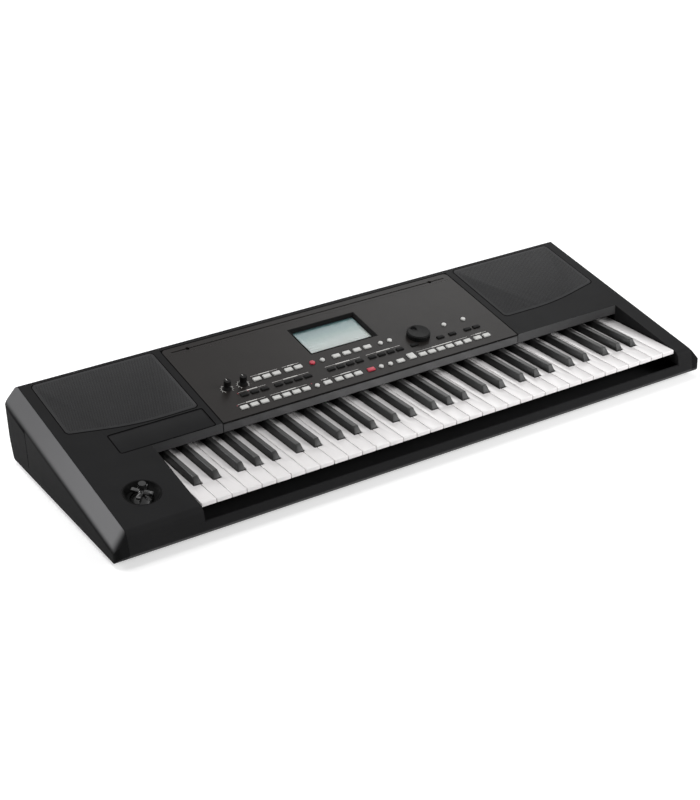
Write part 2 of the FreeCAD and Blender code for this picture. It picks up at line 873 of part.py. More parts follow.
def music_rest_rail():
    """Rear strip of the panel, with the groove and two sockets for a music rest."""
    v1 = panel_length
    points = [(-panel_half, rest_rail_v), (panel_half, rest_rail_v), (panel_half, v1), (-panel_half, v1)]
    strip = prism_z(points, under_panel, 0, [0, 0, panel_corner_radius, panel_corner_radius])
    socket_v = (rest_rail_v + v1) / 2 - rest_groove_width
    socket_u = panel_half - rest_socket_from_end
    outer = rest_socket_radius + rest_socket_wall
    depth_outside = rest_socket_depth + rest_socket_wall
    sockets = [cylinder(outer, depth_outside, side * socket_u, socket_v, -depth_outside)
               for side in (-1, 1)]
    strip = strip.fuse(sockets)
    groove = box(-panel_half + rest_groove_margin, panel_half - rest_groove_margin,
                 socket_v - rest_groove_width / 2, socket_v + rest_groove_width / 2,
                 -rest_groove_depth, cut_overrun)
    bores = [cylinder(rest_socket_radius, rest_socket_depth + cut_overrun, side * socket_u, socket_v,
                      -rest_socket_depth) for side in (-1, 1)]
    return on_panel(strip.cut([groove] + bores).removeSplitter())


def panel_board():
    return panel_rect(-panel_half + board_margin, panel_half - board_margin, board_margin,
                      rest_rail_v - rest_rail_seam, board_bottom, board_top)


def panel_switches():
    top = -cap_tail - cap_travel - switch_clearance
    places = [cap[:2] for caps in rect_groups.values() for cap in caps]
    places += [red_square[:2], red_round] + small_rounds
    return group([on_panel(centred_box(u, v, switch_size, switch_size, board_top, top))
                  for u, v in places])


def rotary_controls():
    """Bodies of the two potentiometers and of the dial's encoder."""
    places = (volume_place, balance_place, dial_place)
    return group([on_panel(centred_box(u, v, pot_size, pot_size, board_top, board_top + pot_height))
                  for u, v in places])


def value_dial():
    foot = board_top + pot_height + pot_clearance
    edge = dial_radius - dial_edge
    dial = turned([(0, knob_lift), (dial_radius, knob_lift), (dial_radius, dial_height - dial_edge),
                   (edge, dial_height), (0, dial_height - dial_dish_depth)], dial_sides)
    reach = dial_radius - 2 * dial_edge - dial_dimple_radius
    angle = math.radians(dial_dimple_angle)
    dimple = small_round(dial_dimple_radius, dial_height, reach * math.cos(angle), reach * math.sin(angle),
                         dial_height - dial_dish_depth - dial_dimple_depth)
    shaft = small_round(shaft_radius, knob_lift - foot, 0, 0, foot)
    dial = dial.cut(dimple).fuse(shaft)
    dial.translate(V(dial_place[0], dial_place[1], 0))
    return on_panel(dial)


def knob(place):
    foot = board_top + pot_height + pot_clearance
    skirt = knob_lift + knob_skirt_height
    body = turned([(0, knob_lift), (knob_radius, knob_lift), (knob_neck_radius, skirt),
                   (knob_neck_radius, knob_height), (0, knob_height)], knob_sides)
    pointer = box(-knob_pointer_width / 2, knob_pointer_width / 2, knob_neck_radius / 3,
                  knob_radius + cut_overrun, knob_height - knob_pointer_depth, knob_height + cut_overrun)
    body = body.cut(pointer).fuse(small_round(shaft_radius, knob_lift - foot, 0, 0, foot))
    body.translate(V(place[0], place[1], 0))
    return on_panel(body)


display_outer = (display_width - 2 * cap_hole_gap, display_length - 2 * cap_hole_gap)
display_inner = (display_outer[0] - 2 * display_wall, display_outer[1] - 2 * display_wall)
glass_bottom = -display_recess - display_glass


def display_bezel():
    frame = centred_box(0, display_v, display_outer[0], display_outer[1], glass_bottom, display_lip)
    slope = display_slope / display_recess
    rise = display_lip + display_recess
    funnel = taper(0, display_v, display_inner[0] - 2 * display_slope, display_inner[1] - 2 * display_slope,
                   -slope * (rise + display_wall), -display_recess, display_lip + display_wall)
    seat = centred_box(0, display_v, display_inner[0], display_inner[1], glass_bottom - cut_overrun,
                       -display_recess)
    return on_panel(frame.cut([funnel, seat]))


def display_window():
    return on_panel(centred_box(0, display_v, display_inner[0] - 2 * socket_gap,
                                display_inner[1] - 2 * socket_gap, glass_bottom, -display_recess))


def display_module():
    return on_panel(centred_box(0, display_v, display_outer[0], display_outer[1], board_top, glass_bottom))


cup_bottom = -cup_depth - cup_wall
pivot_w = -stick_pivot_drop
flange_bottom = -case_wall - cup_flange_thickness


def dome_clear_radius(w):
    """Radius that a wall at a depth needs to clear the joystick's dome."""
    clear = stick_dome_radius + stick_dome_gap
    return math.sqrt(clear ** 2 - (w - pivot_w) ** 2)


def dome_reach(height):
    """Radius of the joystick's dome at a height over its pivot, or the height at a radius."""
    return math.sqrt(stick_dome_radius ** 2 - height ** 2)


def joystick_cup():
    hole = dome_clear_radius(cup_bottom)
    bowl = turned([(cup_radius - cup_rim, 0), (cup_radius, 0), (cup_radius, flange_bottom),
                   (cup_floor_radius + cup_wall, cup_bottom), (hole, cup_bottom), (hole, -cup_depth),
                   (cup_floor_radius, -cup_depth)], dome_sides)
    flange = centred_box(0, 0, 2 * cup_flange, 2 * cup_flange, flange_bottom, -case_wall)
    flange = flange.cut(cylinder(cup_radius - cup_rim / 2, 4 * cut_overrun, 0, 0, -2 * cut_overrun))
    return on_top(bowl.fuse(flange).removeSplitter(), stick_x, stick_y)


def joystick_base():
    """Square can under the cup, with the bearings of the swinging ring."""
    can = centred_box(0, 0, 2 * can_half, 2 * can_half, flange_bottom - can_depth, flange_bottom)
    inside = 2 * (can_half - can_wall)
    room = centred_box(0, 0, inside, inside, flange_bottom - can_depth + can_wall,
                       flange_bottom + cut_overrun)
    bearing = Part.makeCylinder(ring_pin_radius + ring_pin_gap, 2 * can_half + 2 * cut_overrun,
                                V(0, -can_half - cut_overrun, pivot_w), V(0, 1, 0))
    return on_top(can.cut([room, bearing]), stick_x, stick_y)


def joystick_gimbal():
    half = ring_thickness / 2
    ring = centred_box(0, 0, ring_outer, ring_outer, pivot_w - half, pivot_w + half)
    ring = ring.cut(centred_box(0, 0, ring_inner, ring_inner, pivot_w - ring_outer, pivot_w + ring_outer))
    reach = can_half - fit_gap
    pins = []
    for side in (-1, 1):
        pins.append(Part.makeCylinder(ring_pin_radius, reach - ring_inner / 2 - half,
                                      V(0, side * reach, pivot_w), V(0, -side, 0)))
        pins.append(Part.makeCylinder(ring_pin_radius, ring_pin_length + half,
                                      V(side * (ring_inner / 2 + half), 0, pivot_w), V(-side, 0, 0)))
    return on_top(ring.fuse(pins).removeSplitter(), stick_x, stick_y)


def joystick_stick():
    """Stick with its dome, a cross of four arms, and the block that turns on the ring's pins."""
    block_top = stick_dome_radius / 2
    block = centred_box(0, 0, stick_block, stick_block, -stick_block_drop, block_top)
    middle = (stick_dome_base + stick_dome_radius) / 2
    dome = turned([(0, stick_dome_base), (dome_reach(stick_dome_base), stick_dome_base),
                   (dome_reach(middle), middle), (stick_post_radius, dome_reach(stick_post_radius)),
                   (0, dome_reach(stick_post_radius))], dome_sides)
    top = stick_pivot_drop + stick_height
    neck = top - stick_cap_height
    post = turned([(0, block_top), (stick_post_radius, block_top), (stick_post_radius, neck),
                   (stick_cap_radius, neck + cap_edge_chamfer), (stick_cap_radius - cap_edge_chamfer, top),
                   (0, top)], round_sides)
    arm_z = stick_pivot_drop + stick_arm_height
    half = stick_arm_width / 2
    reach = stick_arm_reach
    outline = [(half, -reach), (half, -half), (reach, -half), (reach, half), (half, half),
               (half, reach), (-half, reach), (-half, half), (-reach, half), (-reach, -half),
               (-half, -half), (-half, -reach)]
    arms = prism_z(outline, arm_z - stick_arm_thickness / 2, arm_z + stick_arm_thickness / 2)
    arms.rotate(V(0, 0, 0), V(0, 0, 1), 45)
    stick = block.fuse([dome, post, arms])
    bearing = Part.makeCylinder(ring_pin_radius + ring_pin_gap, 2 * stick_block,
                                V(-stick_block, 0, 0), V(1, 0, 0))
    stick = stick.cut(bearing).removeSplitter()
    stick.translate(V(0, 0, pivot_w))
    return on_top(stick, stick_x, stick_y)


# Notes of one octave: name, white key or boundary, and whether a black key
note_names = ("c", "c_sharp", "d", "d_sharp", "e", "f", "f_sharp", "g", "g_sharp", "a", "a_sharp", "b")
white_notes = (0, 2, 4, 5, 7, 9, 11)
black_after = {0: -black_offset_two, 1: black_offset_two, 3: -black_offset_three, 4: 0,
               5: black_offset_three}
octave_whites = len(white_notes)
octave_width = octave_whites * white_pitch
white_front_y = front_y + white_front_setback
black_front_y = front_y + black_front_setback
key_end_y = pivot_y + pivot_hub_length / 2
pocket_end_y = pivot_y - pocket_end_from_pivot
hub_bottom = lip_height - pivot_drop
frame_front_y = front_y + frame_front_setback
felt_front_y = frame_front_y + frame_sheet / 2 - felt_width / 2
felt_top = lip_height - key_drop(felt_front_y) - stop_clearance
tongue_rear_y = felt_front_y - tongue_gap
foot_top = frame_floor_height - felt_thickness - stop_clearance


def black_centre(index):
    """Middle of the black key after a white key of the lowest octave."""
    return keys_left + (index + 1) * white_pitch + black_after[index]


def key_fittings(middle):
    """Hub over the pivot bead, and the hooked tongue that stops the key, below any key."""
    tongue_front = tongue_rear_y - key_tongue_thickness
    half = key_tongue_width / 2
    tongue = box(middle - half, middle + half, tongue_front, tongue_rear_y,
                 foot_top - key_foot_thickness, white_top_height - white_skin / 2)
    foot = box(middle - half, middle + half, tongue_front, tongue_front + key_foot_length,
               foot_top - key_foot_thickness, foot_top)
    return [tongue, foot]


def pivot_slot(x0, x1):
    half = pivot_bead / 2 + pivot_clearance
    return box(x0 - cut_overrun, x1 + cut_overrun, pivot_y - half, pivot_y + half,
               hub_bottom - cut_overrun, pivot_z + half)


def white_key(index, last):
    """A white key of the lowest octave, cut away beside its black keys and hollow below."""
    left = keys_left + index * white_pitch + key_gap / 2
    right = left + white_pitch - key_gap
    room = black_base_width / 2 + black_slot_gap
    tail_left, tail_right = left, right
    if index - 1 in black_after:
        tail_left = black_centre(index - 1) + room
    if index in black_after and not last:
        tail_right = black_centre(index) - room
    head_end = black_front_y - black_slot_gap
    bevel = white_front_radius
    top = white_top_height
    head = prism_x([(white_front_y, lip_height), (head_end, lip_height), (head_end, top),
                    (white_front_y + bevel, top), (white_front_y, top - bevel)], left, right)
    tail = box(tail_left, tail_right, head_end, key_end_y, lip_height, top)
    hub = box(tail_left, tail_right, pivot_y - pivot_hub_length / 2, key_end_y, hub_bottom, lip_height)
    key = head.fuse([tail, hub])
    skin = white_skin
    ceiling = top - skin
    pockets = [box(left + skin, right - skin, white_front_y + 2 * skin, head_end - skin,
                   lip_height - cut_overrun, ceiling),
               box(tail_left + skin, tail_right - skin, head_end - skin - cut_overrun, pocket_end_y,
                   lip_height - cut_overrun, ceiling)]
    key = key.cut(pockets + [pivot_slot(left, right)])
    return fuse(key, key_fittings((tail_left + tail_right) / 2))


def black_key(index):
    """A black key of the lowest octave, with leaning sides and a raked front."""
    middle = black_centre(index)
    half, top_half = black_base_width / 2, black_top_width / 2
    base = white_top_height
    lower = box(middle - half, middle + half, black_front_y, key_end_y, lip_height, base)
    hub = box(middle - half, middle + half, pivot_y - pivot_hub_length / 2, key_end_y, hub_bottom, lip_height)
    slab_end = pocket_end_y
    slab = prism_x([(black_front_y, base), (slab_end, base), (slab_end, base + black_rear_rise),
                    (black_front_y + black_front_rake, base + black_rise)], middle - half, middle + half)
    wire = Part.makePolygon([V(middle - half, black_front_y, base), V(middle + half, black_front_y, base),
                             V(middle + top_half, black_front_y, base + black_rise),
                             V(middle - top_half, black_front_y, base + black_rise),
                             V(middle - half, black_front_y, base)])
    sides = Part.Face(wire).extrude(V(0, slab_end - black_front_y, 0))
    key = lower.fuse([hub, slab.common(sides)])
    skin = white_skin
    pocket = box(middle - half + skin, middle + half - skin, black_front_y + 2 * skin, pocket_end_y,
                 lip_height - cut_overrun, base - skin)
    key = key.cut([pocket, pivot_slot(middle - half, middle + half)])
    return fuse(key, key_fittings(middle))


def key_groups():
    """Every key, grouped by note name."""
    groups = {}
    octaves = (white_count - 1) // octave_whites
    for index, note in enumerate(white_notes):
        key = white_key(index, False)
        keys = [key.translated(V(octave * octave_width, 0, 0)) for octave in range(octaves)]
        if index == 0:
            keys.append(white_key(index, True).translated(V(octaves * octave_width, 0, 0)))
        groups[note_names[note] + "_keys"] = keys
        if index in black_after:
            sharp = black_key(index)
            groups[note_names[note + 1] + "_keys"] = [sharp.translated(V(octave * octave_width, 0, 0))
                                                      for octave in range(octaves)]
    return groups


contact_y1 = pivot_y - contact_board_from_pivot
contact_y0 = contact_y1 - contact_board_width
contact_z = frame_floor_height + frame_sheet + contact_board_rise


def keybed_chassis():
    """Pressed frame: floor, front flange for the stops, board rests and the pivot bead at the back."""
    x0, x1, y0, y1 = key_frame_limits()
    floor = frame_floor_height
    top = floor + frame_sheet
    bead = pivot_bead / 2
    sheet = box(x0, x1, y0, y1, floor, top)
    flange = box(x0, x1, y0, y0 + frame_sheet, top, felt_top - felt_thickness)
    web = box(x0, x1, pivot_y - frame_sheet / 2, pivot_y + frame_sheet / 2, top, pivot_z)
    head = box(x0, x1, pivot_y - bead, pivot_y + bead, pivot_z - bead, pivot_z + bead)
    rests = [box(x0, x1, y, y + frame_sheet, top, contact_z) for y in (contact_y0, contact_y1 - frame_sheet)]
    frame = fuse(sheet, [flange, web, head] + rests)
    holes = [small_round(screw_radius, 2 * frame_sheet + cut_overrun, x, y, floor - cut_overrun)
             for x, y in frame_posts()]
    return frame.cut(holes)


def key_stop_felts():
    x0, x1, y0, y1 = key_frame_limits()
    lower = box(x0, x1, felt_front_y, felt_front_y + felt_width, felt_top - felt_thickness, felt_top)
    upper = box(x0, x1, y0, y0 + felt_width, frame_floor_height - felt_thickness, frame_floor_height)
    return group([lower, upper])


def key_middles():
    """Middle of every key, white and black."""
    places = []
    for index in range(white_count):
        places.append(keys_left + (2 * index + 1) * white_pitch / 2)
        octave, note = divmod(index, octave_whites)
        if note in black_after and index < white_count - 1:
            places.append(black_centre(note) + octave * octave_width)
    return places


def key_springs():
    """Leaf springs that lift the keys, one below each key beside its hub."""
    floor = frame_floor_height + frame_sheet
    y1 = pivot_y - spring_from_pivot
    y0 = y1 - spring_sheet
    top = lip_height - key_drop(y0) - stop_clearance
    half = spring_width / 2
    return group([box(x - half, x + half, y0, y1, floor, top) for x in key_middles()])


def key_contact_board():
    x0, x1, y0, y1 = key_frame_limits()
    return box(x0, x1, contact_y0, contact_y1, contact_z, contact_z + contact_board_thickness)


def key_contact_strips():
    """Rubber strips, one for each octave, with a ridge of contacts under the keys."""
    base = contact_z + contact_board_thickness
    web_top = base + contact_web_thickness
    middle_y = (contact_y0 + contact_y1) / 2
    y0, y1 = middle_y - contact_dome_length / 2, middle_y + contact_dome_length / 2
    dome_top = lip_height - key_drop(y0) - stop_clearance
    strips = []
    octaves = math.ceil(white_count / octave_whites)
    for octave in range(octaves):
        left = keys_left + octave * octave_width + key_gap / 2
        right = min(left + octave_width - key_gap, keys_right - key_gap / 2)
        web = box(left, right, middle_y - contact_web_length / 2, middle_y + contact_web_length / 2,
                  base, web_top)
        ridge = taper((left + right) / 2, middle_y, right - left - 2 * key_gap, contact_dome_length,
                      contact_web_thickness, web_top, dome_top)
        strips.append(fuse(web, [ridge]))
    return group(strips)


bay_middle_z = bay_bottom_height + bay_height / 2


def socket_box(from_left, size, across, y0, y1):
    x = bay_left + from_left
    return box(x - size / 2, x + size / 2, y0, y1, bay_middle_z - across / 2, bay_middle_z + across / 2)


def along_y(radius, from_left, y0, y1):
    return Part.makeCylinder(radius, y1 - y0, V(bay_left + from_left, y0, bay_middle_z), V(0, 1, 0))


usb_blocks = ((usb_from_left, usb_mouth_width, usb_mouth_height),
              (usb_from_left + usb_pitch, usb_square, usb_square))
jack_places = [jack_first + i * jack_pitch for i in range(jack_count)]


def rear_jack_plate():
    plate = box(bay_left, bay_right, plate_inner_y, plate_outer_y, bay_bottom_height, bay_top)
    y0, y1 = plate_inner_y - cut_overrun, plate_outer_y + cut_overrun
    gap = 2 * socket_gap
    cuts = [socket_box(place, jack_block + gap, jack_block + gap, y0, y1) for place in jack_places]
    for place, across, tall in usb_blocks:
        cuts.append(socket_box(place, across + 2 * usb_shell + gap, tall + 2 * usb_shell + gap, y0, y1))
    cuts.append(socket_box(inlet_from_left, inlet_block + gap, inlet_block + gap, y0, y1))
    cuts.append(socket_box(power_from_left, power_size + 2 * power_gap, power_size + 2 * power_gap, y0, y1))
    return plate.cut(cuts)


def audio_jacks():
    jacks = []
    for place in jack_places:
        body = socket_box(place, jack_block, jack_block, plate_outer_y - jack_block_depth, plate_outer_y)
        bore = along_y(jack_radius, place, plate_outer_y - jack_bore_depth, plate_outer_y + cut_overrun)
        jacks.append(body.cut(bore))
    return group(jacks)


def usb_sockets():
    sockets = []
    for place, across, tall in usb_blocks:
        shell = socket_box(place, across + 2 * usb_shell, tall + 2 * usb_shell, plate_outer_y - usb_depth,
                           plate_outer_y)
        mouth = socket_box(place, across, tall, plate_outer_y - usb_depth + usb_back,
                           plate_outer_y + cut_overrun)
        sockets.append(shell.cut(mouth))
    return group(sockets)


def power_inlet():
    back = plate_outer_y - inlet_depth
    body = socket_box(inlet_from_left, inlet_block, inlet_block, back - usb_back, plate_outer_y)
    body = body.cut(along_y(inlet_radius, inlet_from_left, back, plate_outer_y + cut_overrun))
    pin = along_y(inlet_pin_radius, inlet_from_left, back - usb_back / 2, plate_outer_y - usb_back)
    return body.fuse(pin)


def power_button():
    rear = plate_outer_y + power_proud
    stem = socket_box(power_from_left, power_size, power_size, plate_inner_y - power_tail, rear)
    flange_rear = plate_inner_y - power_gap
    flange = socket_box(power_from_left, power_size + 2 * power_flange, power_size + 2 * power_flange,
                        flange_rear - power_flange, flange_rear)
    return fuse(stem, [flange])


def board_with_chips(left, length, across, chips):
    """A circuit board on its corner posts; chips are shares of its length, width and of each size."""
    rear = rear_y - main_board_rear_gap
    front = rear - across
    top = inner_board_height + inner_board_thickness
    solids = [box(left, left + length, front, rear, inner_board_height, top)]
    for at_share, over_share, long_share, wide_share in chips:
        x, y = left + at_share * length, front + over_share * across
        solids.append(box(x, x + long_share * length, y, y + wide_share * across, top, top + chip_height))
    return solids


main_chip_shares = ((0.12, 0.30, 0.10, 0.27), (0.30, 0.32, 0.05, 0.24), (0.38, 0.32, 0.05, 0.24),
                    (0.52, 0.40, 0.13, 0.35), (0.76, 0.20, 0.12, 0.20))
amp_chip_shares = ((0.10, 0.12, 0.12, 0.22), (0.30, 0.12, 0.12, 0.22), (0.66, 0.15, 0.20, 0.30))


def main_board():
    return group(board_with_chips(main_board_left, main_board_length, main_board_width, main_chip_shares))


def amplifier_board():
    solids = board_with_chips(amp_board_left, amp_board_length, amp_board_width, amp_chip_shares)
    top = inner_board_height + inner_board_thickness
    x = amp_board_left + (amp_board_length - heatsink_length) / 2
    y = rear_y - main_board_rear_gap - amp_board_width / 2
    base = box(x, x + heatsink_length, y, y + heatsink_width, top, top + heatsink_fin)
    step = (heatsink_length - heatsink_fin) / (heatsink_fin_count - 1)
    fins = [box(x + i * step, x + i * step + heatsink_fin, y, y + heatsink_width, top, top + heatsink_height)
            for i in range(heatsink_fin_count)]
    solids.append(fuse(base, fins))
    return group(solids)


def rubber_feet():
    return group([small_round(foot_radius, base_height, x, y, 0, foot_sides) for x, y in foot_places()])


def case_screws():
    tip = frame_floor_height + frame_sheet + screw_reach
    screws = []
    for x, y in frame_posts():
        head = small_round(screw_head_radius, screw_head_height, x, y, base_height - screw_head_height)
        shank = small_round(screw_radius, tip - base_height, x, y, base_height)
        screws.append(fuse(head, [shank]))
    return group(screws)


def main():
    os.makedirs("parts", exist_ok=True)
    save("upper_case", upper_case())
    save("lower_case", lower_case())
    save("left_end_cap", end_cap(-1))
    save("right_end_cap", end_cap(1))
    save("front_fascia", front_fascia())
    save("name_plate", name_plate())
    for name, side in (("left", -1), ("right", 1)):
        save(name + "_speaker_grille", grille_plate(side, 0, grille_proud - grille_thickness, grille_proud))
    save("speaker_baskets", group([on_speaker(speaker_basket(), side) for side in (-1, 1)]))
    save("speaker_cones", group([on_speaker(speaker_cone(), side) for side in (-1, 1)]))
    save("control_panel", control_panel())
    save("music_rest_rail", music_rest_rail())
    save("panel_board", panel_board())
    save("panel_switches", panel_switches())
    save("rotary_controls", rotary_controls())
    save("value_dial", value_dial())
    save("volume_knob", knob(volume_place))
    save("balance_knob", knob(balance_place))
    for name, caps in rect_groups.items():
        save(name, group([rect_cap(*cap) for cap in caps]))
    save("round_buttons", group([round_cap(u, v, round_cap_radius) for u, v in small_rounds]))
    save("red_buttons", group([rect_cap(*red_square), round_cap(*red_round, red_cap_radius)]))
    save("display_bezel", display_bezel())
    save("display_window", display_window())
    save("display_module", display_module())
    save("joystick_cup", joystick_cup())
    save("joystick_base", joystick_base())
    save("joystick_gimbal", joystick_gimbal())
    save("joystick_stick", joystick_stick())
    for name, keys in key_groups().items():
        save(name, group(keys))
    save("keybed_chassis", keybed_chassis())
    save("key_stop_felts", key_stop_felts())
    save("key_springs", key_springs())
    save("key_contact_board", key_contact_board())
    save("key_contact_strips", key_contact_strips())
    save("rear_jack_plate", rear_jack_plate())
    save("audio_jacks", audio_jacks())
    save("usb_sockets", usb_sockets())
    save("power_inlet", power_inlet())
    save("power_button", power_button())
    save("main_board", main_board())
    save("amplifier_board", amplifier_board())
    save("rubber_feet", rubber_feet())
    save("case_screws", case_screws())


main()
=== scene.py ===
import json
import math

import bmesh
import bpy
from mathutils import Matrix, Vector
from mathutils.bvhtree import BVHTree


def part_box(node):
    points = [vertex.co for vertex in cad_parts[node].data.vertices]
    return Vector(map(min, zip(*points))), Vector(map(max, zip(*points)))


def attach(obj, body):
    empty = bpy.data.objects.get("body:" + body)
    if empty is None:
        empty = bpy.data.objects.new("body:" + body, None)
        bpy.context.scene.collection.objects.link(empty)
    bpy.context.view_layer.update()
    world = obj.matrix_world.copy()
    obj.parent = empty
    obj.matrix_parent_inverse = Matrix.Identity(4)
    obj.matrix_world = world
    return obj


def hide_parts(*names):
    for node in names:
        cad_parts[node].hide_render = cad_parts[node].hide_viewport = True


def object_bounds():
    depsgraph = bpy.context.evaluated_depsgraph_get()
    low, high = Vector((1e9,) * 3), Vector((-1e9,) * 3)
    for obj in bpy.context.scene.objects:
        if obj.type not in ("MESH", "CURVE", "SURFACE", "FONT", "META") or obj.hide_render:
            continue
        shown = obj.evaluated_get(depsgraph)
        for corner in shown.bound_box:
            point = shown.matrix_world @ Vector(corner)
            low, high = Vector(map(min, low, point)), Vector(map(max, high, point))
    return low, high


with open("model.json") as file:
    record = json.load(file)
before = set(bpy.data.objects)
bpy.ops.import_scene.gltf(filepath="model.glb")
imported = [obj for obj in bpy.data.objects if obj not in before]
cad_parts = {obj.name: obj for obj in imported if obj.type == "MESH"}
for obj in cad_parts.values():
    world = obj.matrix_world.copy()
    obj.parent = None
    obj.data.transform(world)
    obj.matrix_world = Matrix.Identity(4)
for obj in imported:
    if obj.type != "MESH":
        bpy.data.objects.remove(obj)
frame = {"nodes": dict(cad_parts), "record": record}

# Looks of an arranger keyboard, in metres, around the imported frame.
# X runs along the keys to the player's right, Y from the player to the back, Z up.

cad_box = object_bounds()
record = frame["record"]
MM = 0.001

# Camera
camera_place = Vector((-1.2005, -1.9435, 1.1719))
camera_yaw = math.radians(31.021)
camera_pitch = math.radians(26.551)
camera_roll = math.radians(-1.976)
camera_lens = 73.98
camera_sensor = 36.0

# Edges and smooth shading
key_edge = 0.7 * MM
sharp_key_edge = 0.9 * MM
button_edge = 0.35 * MM
trim_edge = 0.4 * MM
shade_edge = 0.7 * MM
shade_samples = 4
edge_steps = 3
edge_angle = math.radians(28)
flat_angle = math.radians(0.5)
stick_angle = math.radians(50)
flat_weight = 95
weld_gap = 0.004 * MM

# Clouds and patches in the finishes, and where they turn from the darker to the lighter shade
cloud_scale = 24.0
patch_scale = 90.0
cloud_low = 0.3
cloud_high = 0.7
worn_high = 0.6

# Brushing of the metal
brush_scale = 400.0
brush_dark = 0.85
brush_vary = 0.08

# Painted light and reflection on the fascia's front plane, dark at the left, light to the right
band_reach = 0.6 * MM
band_facing = -0.9
band_first = 0.15
band_length = 0.7

# Painted highlight on the end caps' bevels, behind the nose, by how far a face looks sideways and
# up
bevel_start = 4.0 * MM
bevel_full = 22.0 * MM
bevel_sideways = (0.15, 0.45)
bevel_upwards = (0.15, 0.55)

# Painted shadow: thin dark sheets over the gaps round the plates that are let into the case
gap_shadow_in = 0.3 * MM
gap_shadow_out = 1.5 * MM
gap_shadow_lift = 0.04 * MM
gap_shadow_depth = 0.03 * MM
plate_depth = 1.0 * MM
outline_digits = 5
corner_limit = 0.5

# Rear plate
collar_radius = 4.8 * MM
collar_band = 1.6 * MM
collar_depth = 1.8 * MM
collar_sides = 40
rear_word = 9.0 * MM
rear_word_drop = 6.0 * MM

# Grille holes, drawn as flat dark discs of painted shade
hole_pitch = 2.6 * MM
hole_radius = 0.62 * MM
hole_sides = 6
hole_margin = 5.0 * MM
hole_lift = 0.03 * MM

# Display: shades from front to back, and the fields on it
screen_shades = ((0.05, (0.34, 0.34, 0.33)), (0.35, (0.27, 0.29, 0.28)),
                 (0.70, (0.11, 0.155, 0.155)), (0.95, (0.055, 0.10, 0.105)))
screen_glow = 0.25
field_width = 21.0 * MM
field_height = 7.5 * MM
field_line = 0.5 * MM
field_offset = 0.35
field_shades = {"Color1": 0.90, "Color2": 1.00, "Mortar": 1.25}

# Print on the panel
print_lift = 0.06 * MM
print_depth = 0.04 * MM
label_gap = 5.2 * MM
word_height = 1.8 * MM
word_share = 0.4
letter_gap = 0.8 * MM
rule_height = 0.9 * MM
lamp_size = 1.6 * MM
lamp_gap = 3.4 * MM
tick_count = 11
arc_radius = 8.4 * MM
arc_steps = 28
tick_radius = 9.2 * MM
tick_length = 1.6 * MM
tick_width = 0.5 * MM
tick_sweep = math.radians(280)

# Grips on the dial and the knobs; low and high are above the panel
dial_ribs = 30
dial_rib_ring = 18.3 * MM
dial_rib_low = 1.2 * MM
dial_rib_high = 7.4 * MM
dial_rib_width = 2.2 * MM
dial_rib_depth = 1.4 * MM
knob_ribs = 18
knob_rib_ring = 5.1 * MM
knob_rib_low = 5.6 * MM
knob_rib_high = 14.4 * MM
knob_rib_width = 0.8 * MM
knob_rib_depth = 0.6 * MM

# Pointers on the knobs; start and end are shares of the top's radius
pointer_width = 0.9 * MM
pointer_lift = 0.05 * MM
pointer_start = 0.2
pointer_end = 0.95

# Floor and surroundings
floor_half = 80.0
floor_colour = (0.80, 0.80, 0.80)
floor_near = 0.7
floor_far = 3.5
near_lift = 0.45
far_lift = 0.95
sky_light = 0.22
sky_seen = 1.0

joints = {joint["name"]: joint for joint in record["behaviour"]["joints"]}
body_of = {node: body for body, nodes in record["behaviour"]["bodies"].items() for node in nodes}
slot_of = {part["node"]: part["material_slot"] for part in record["subparts"]}
button_slots = ("white_button", "dark_button", "red_button")

# The panel's own frame: along the keys, up the slope, and out of the panel
panel_normal = Vector(joints["dial_turn"]["axis"]).normalized()
panel_up = Vector((0, panel_normal.z, -panel_normal.y))
panel_tilt = math.atan2(-panel_normal.y, panel_normal.z)
panel_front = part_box("control_panel")[0][1]
dial_place = Vector(joints["dial_turn"]["pos_m"])
panel_rise = (panel_front - dial_place.y) * math.tan(panel_tilt)
panel_origin = Vector((0, panel_front, dial_place.z + panel_rise))
panel_turn = Matrix.Rotation(panel_tilt, 4, "X")


def on_panel(u, v, w):
    return panel_origin + Vector((u, 0, 0)) + panel_up * v + panel_normal * w


def from_panel(point):
    offset = Vector(point) - panel_origin
    return Vector((offset.x, offset.dot(panel_up), offset.dot(panel_normal)))


# Shader parts


def new_material(name):
    material = bpy.data.materials.new(name)
    material.use_nodes = True
    tree = material.node_tree
    return material, tree, tree.nodes["Principled BSDF"]


def object_place(tree):
    return tree.nodes.new("ShaderNodeTexCoord").outputs["Object"]


def axes_of(tree, vector):
    """The X, Y and Z of a vector."""
    split = tree.nodes.new("ShaderNodeSeparateXYZ")
    tree.links.new(vector, split.inputs["Vector"])
    return split.outputs


def object_noise(tree, scale, detail):
    noise = tree.nodes.new("ShaderNodeTexNoise")
    noise.inputs["Scale"].default_value = scale
    noise.inputs["Detail"].default_value = detail
    tree.links.new(object_place(tree), noise.inputs["Vector"])
    return noise.outputs["Fac"]


def ramp(tree, source, stops):
    node = tree.nodes.new("ShaderNodeValToRGB")
    while len(node.color_ramp.elements) < len(stops):
        node.color_ramp.elements.new(0.5)
    for element, (place, colour) in zip(node.color_ramp.elements, stops):
        element.position = place
        element.color = (*colour, 1)
    tree.links.new(source, node.inputs["Fac"])
    return node.outputs["Color"]


def ranged(tree, source, given=(0.0, 1.0), wanted=(0.0, 1.0), curve="LINEAR"):
    """A value carried over from one range to another."""
    node = tree.nodes.new("ShaderNodeMapRange")
    node.interpolation_type = curve
    node.inputs["From Min"].default_value, node.inputs["From Max"].default_value = given
    node.inputs["To Min"].default_value, node.inputs["To Max"].default_value = wanted
    tree.links.new(source, node.inputs["Value"])
    return node.outputs["Result"]


def worked_out(tree, operation, *values):
    """The result of one math step on sockets and plain numbers."""
    node = tree.nodes.new("ShaderNodeMath")
    node.operation = operation
    for socket, value in zip(node.inputs, values):
        if isinstance(value, float):
            socket.default_value = value
        else:
            tree.links.new(value, socket)
    return node.outputs["Value"]


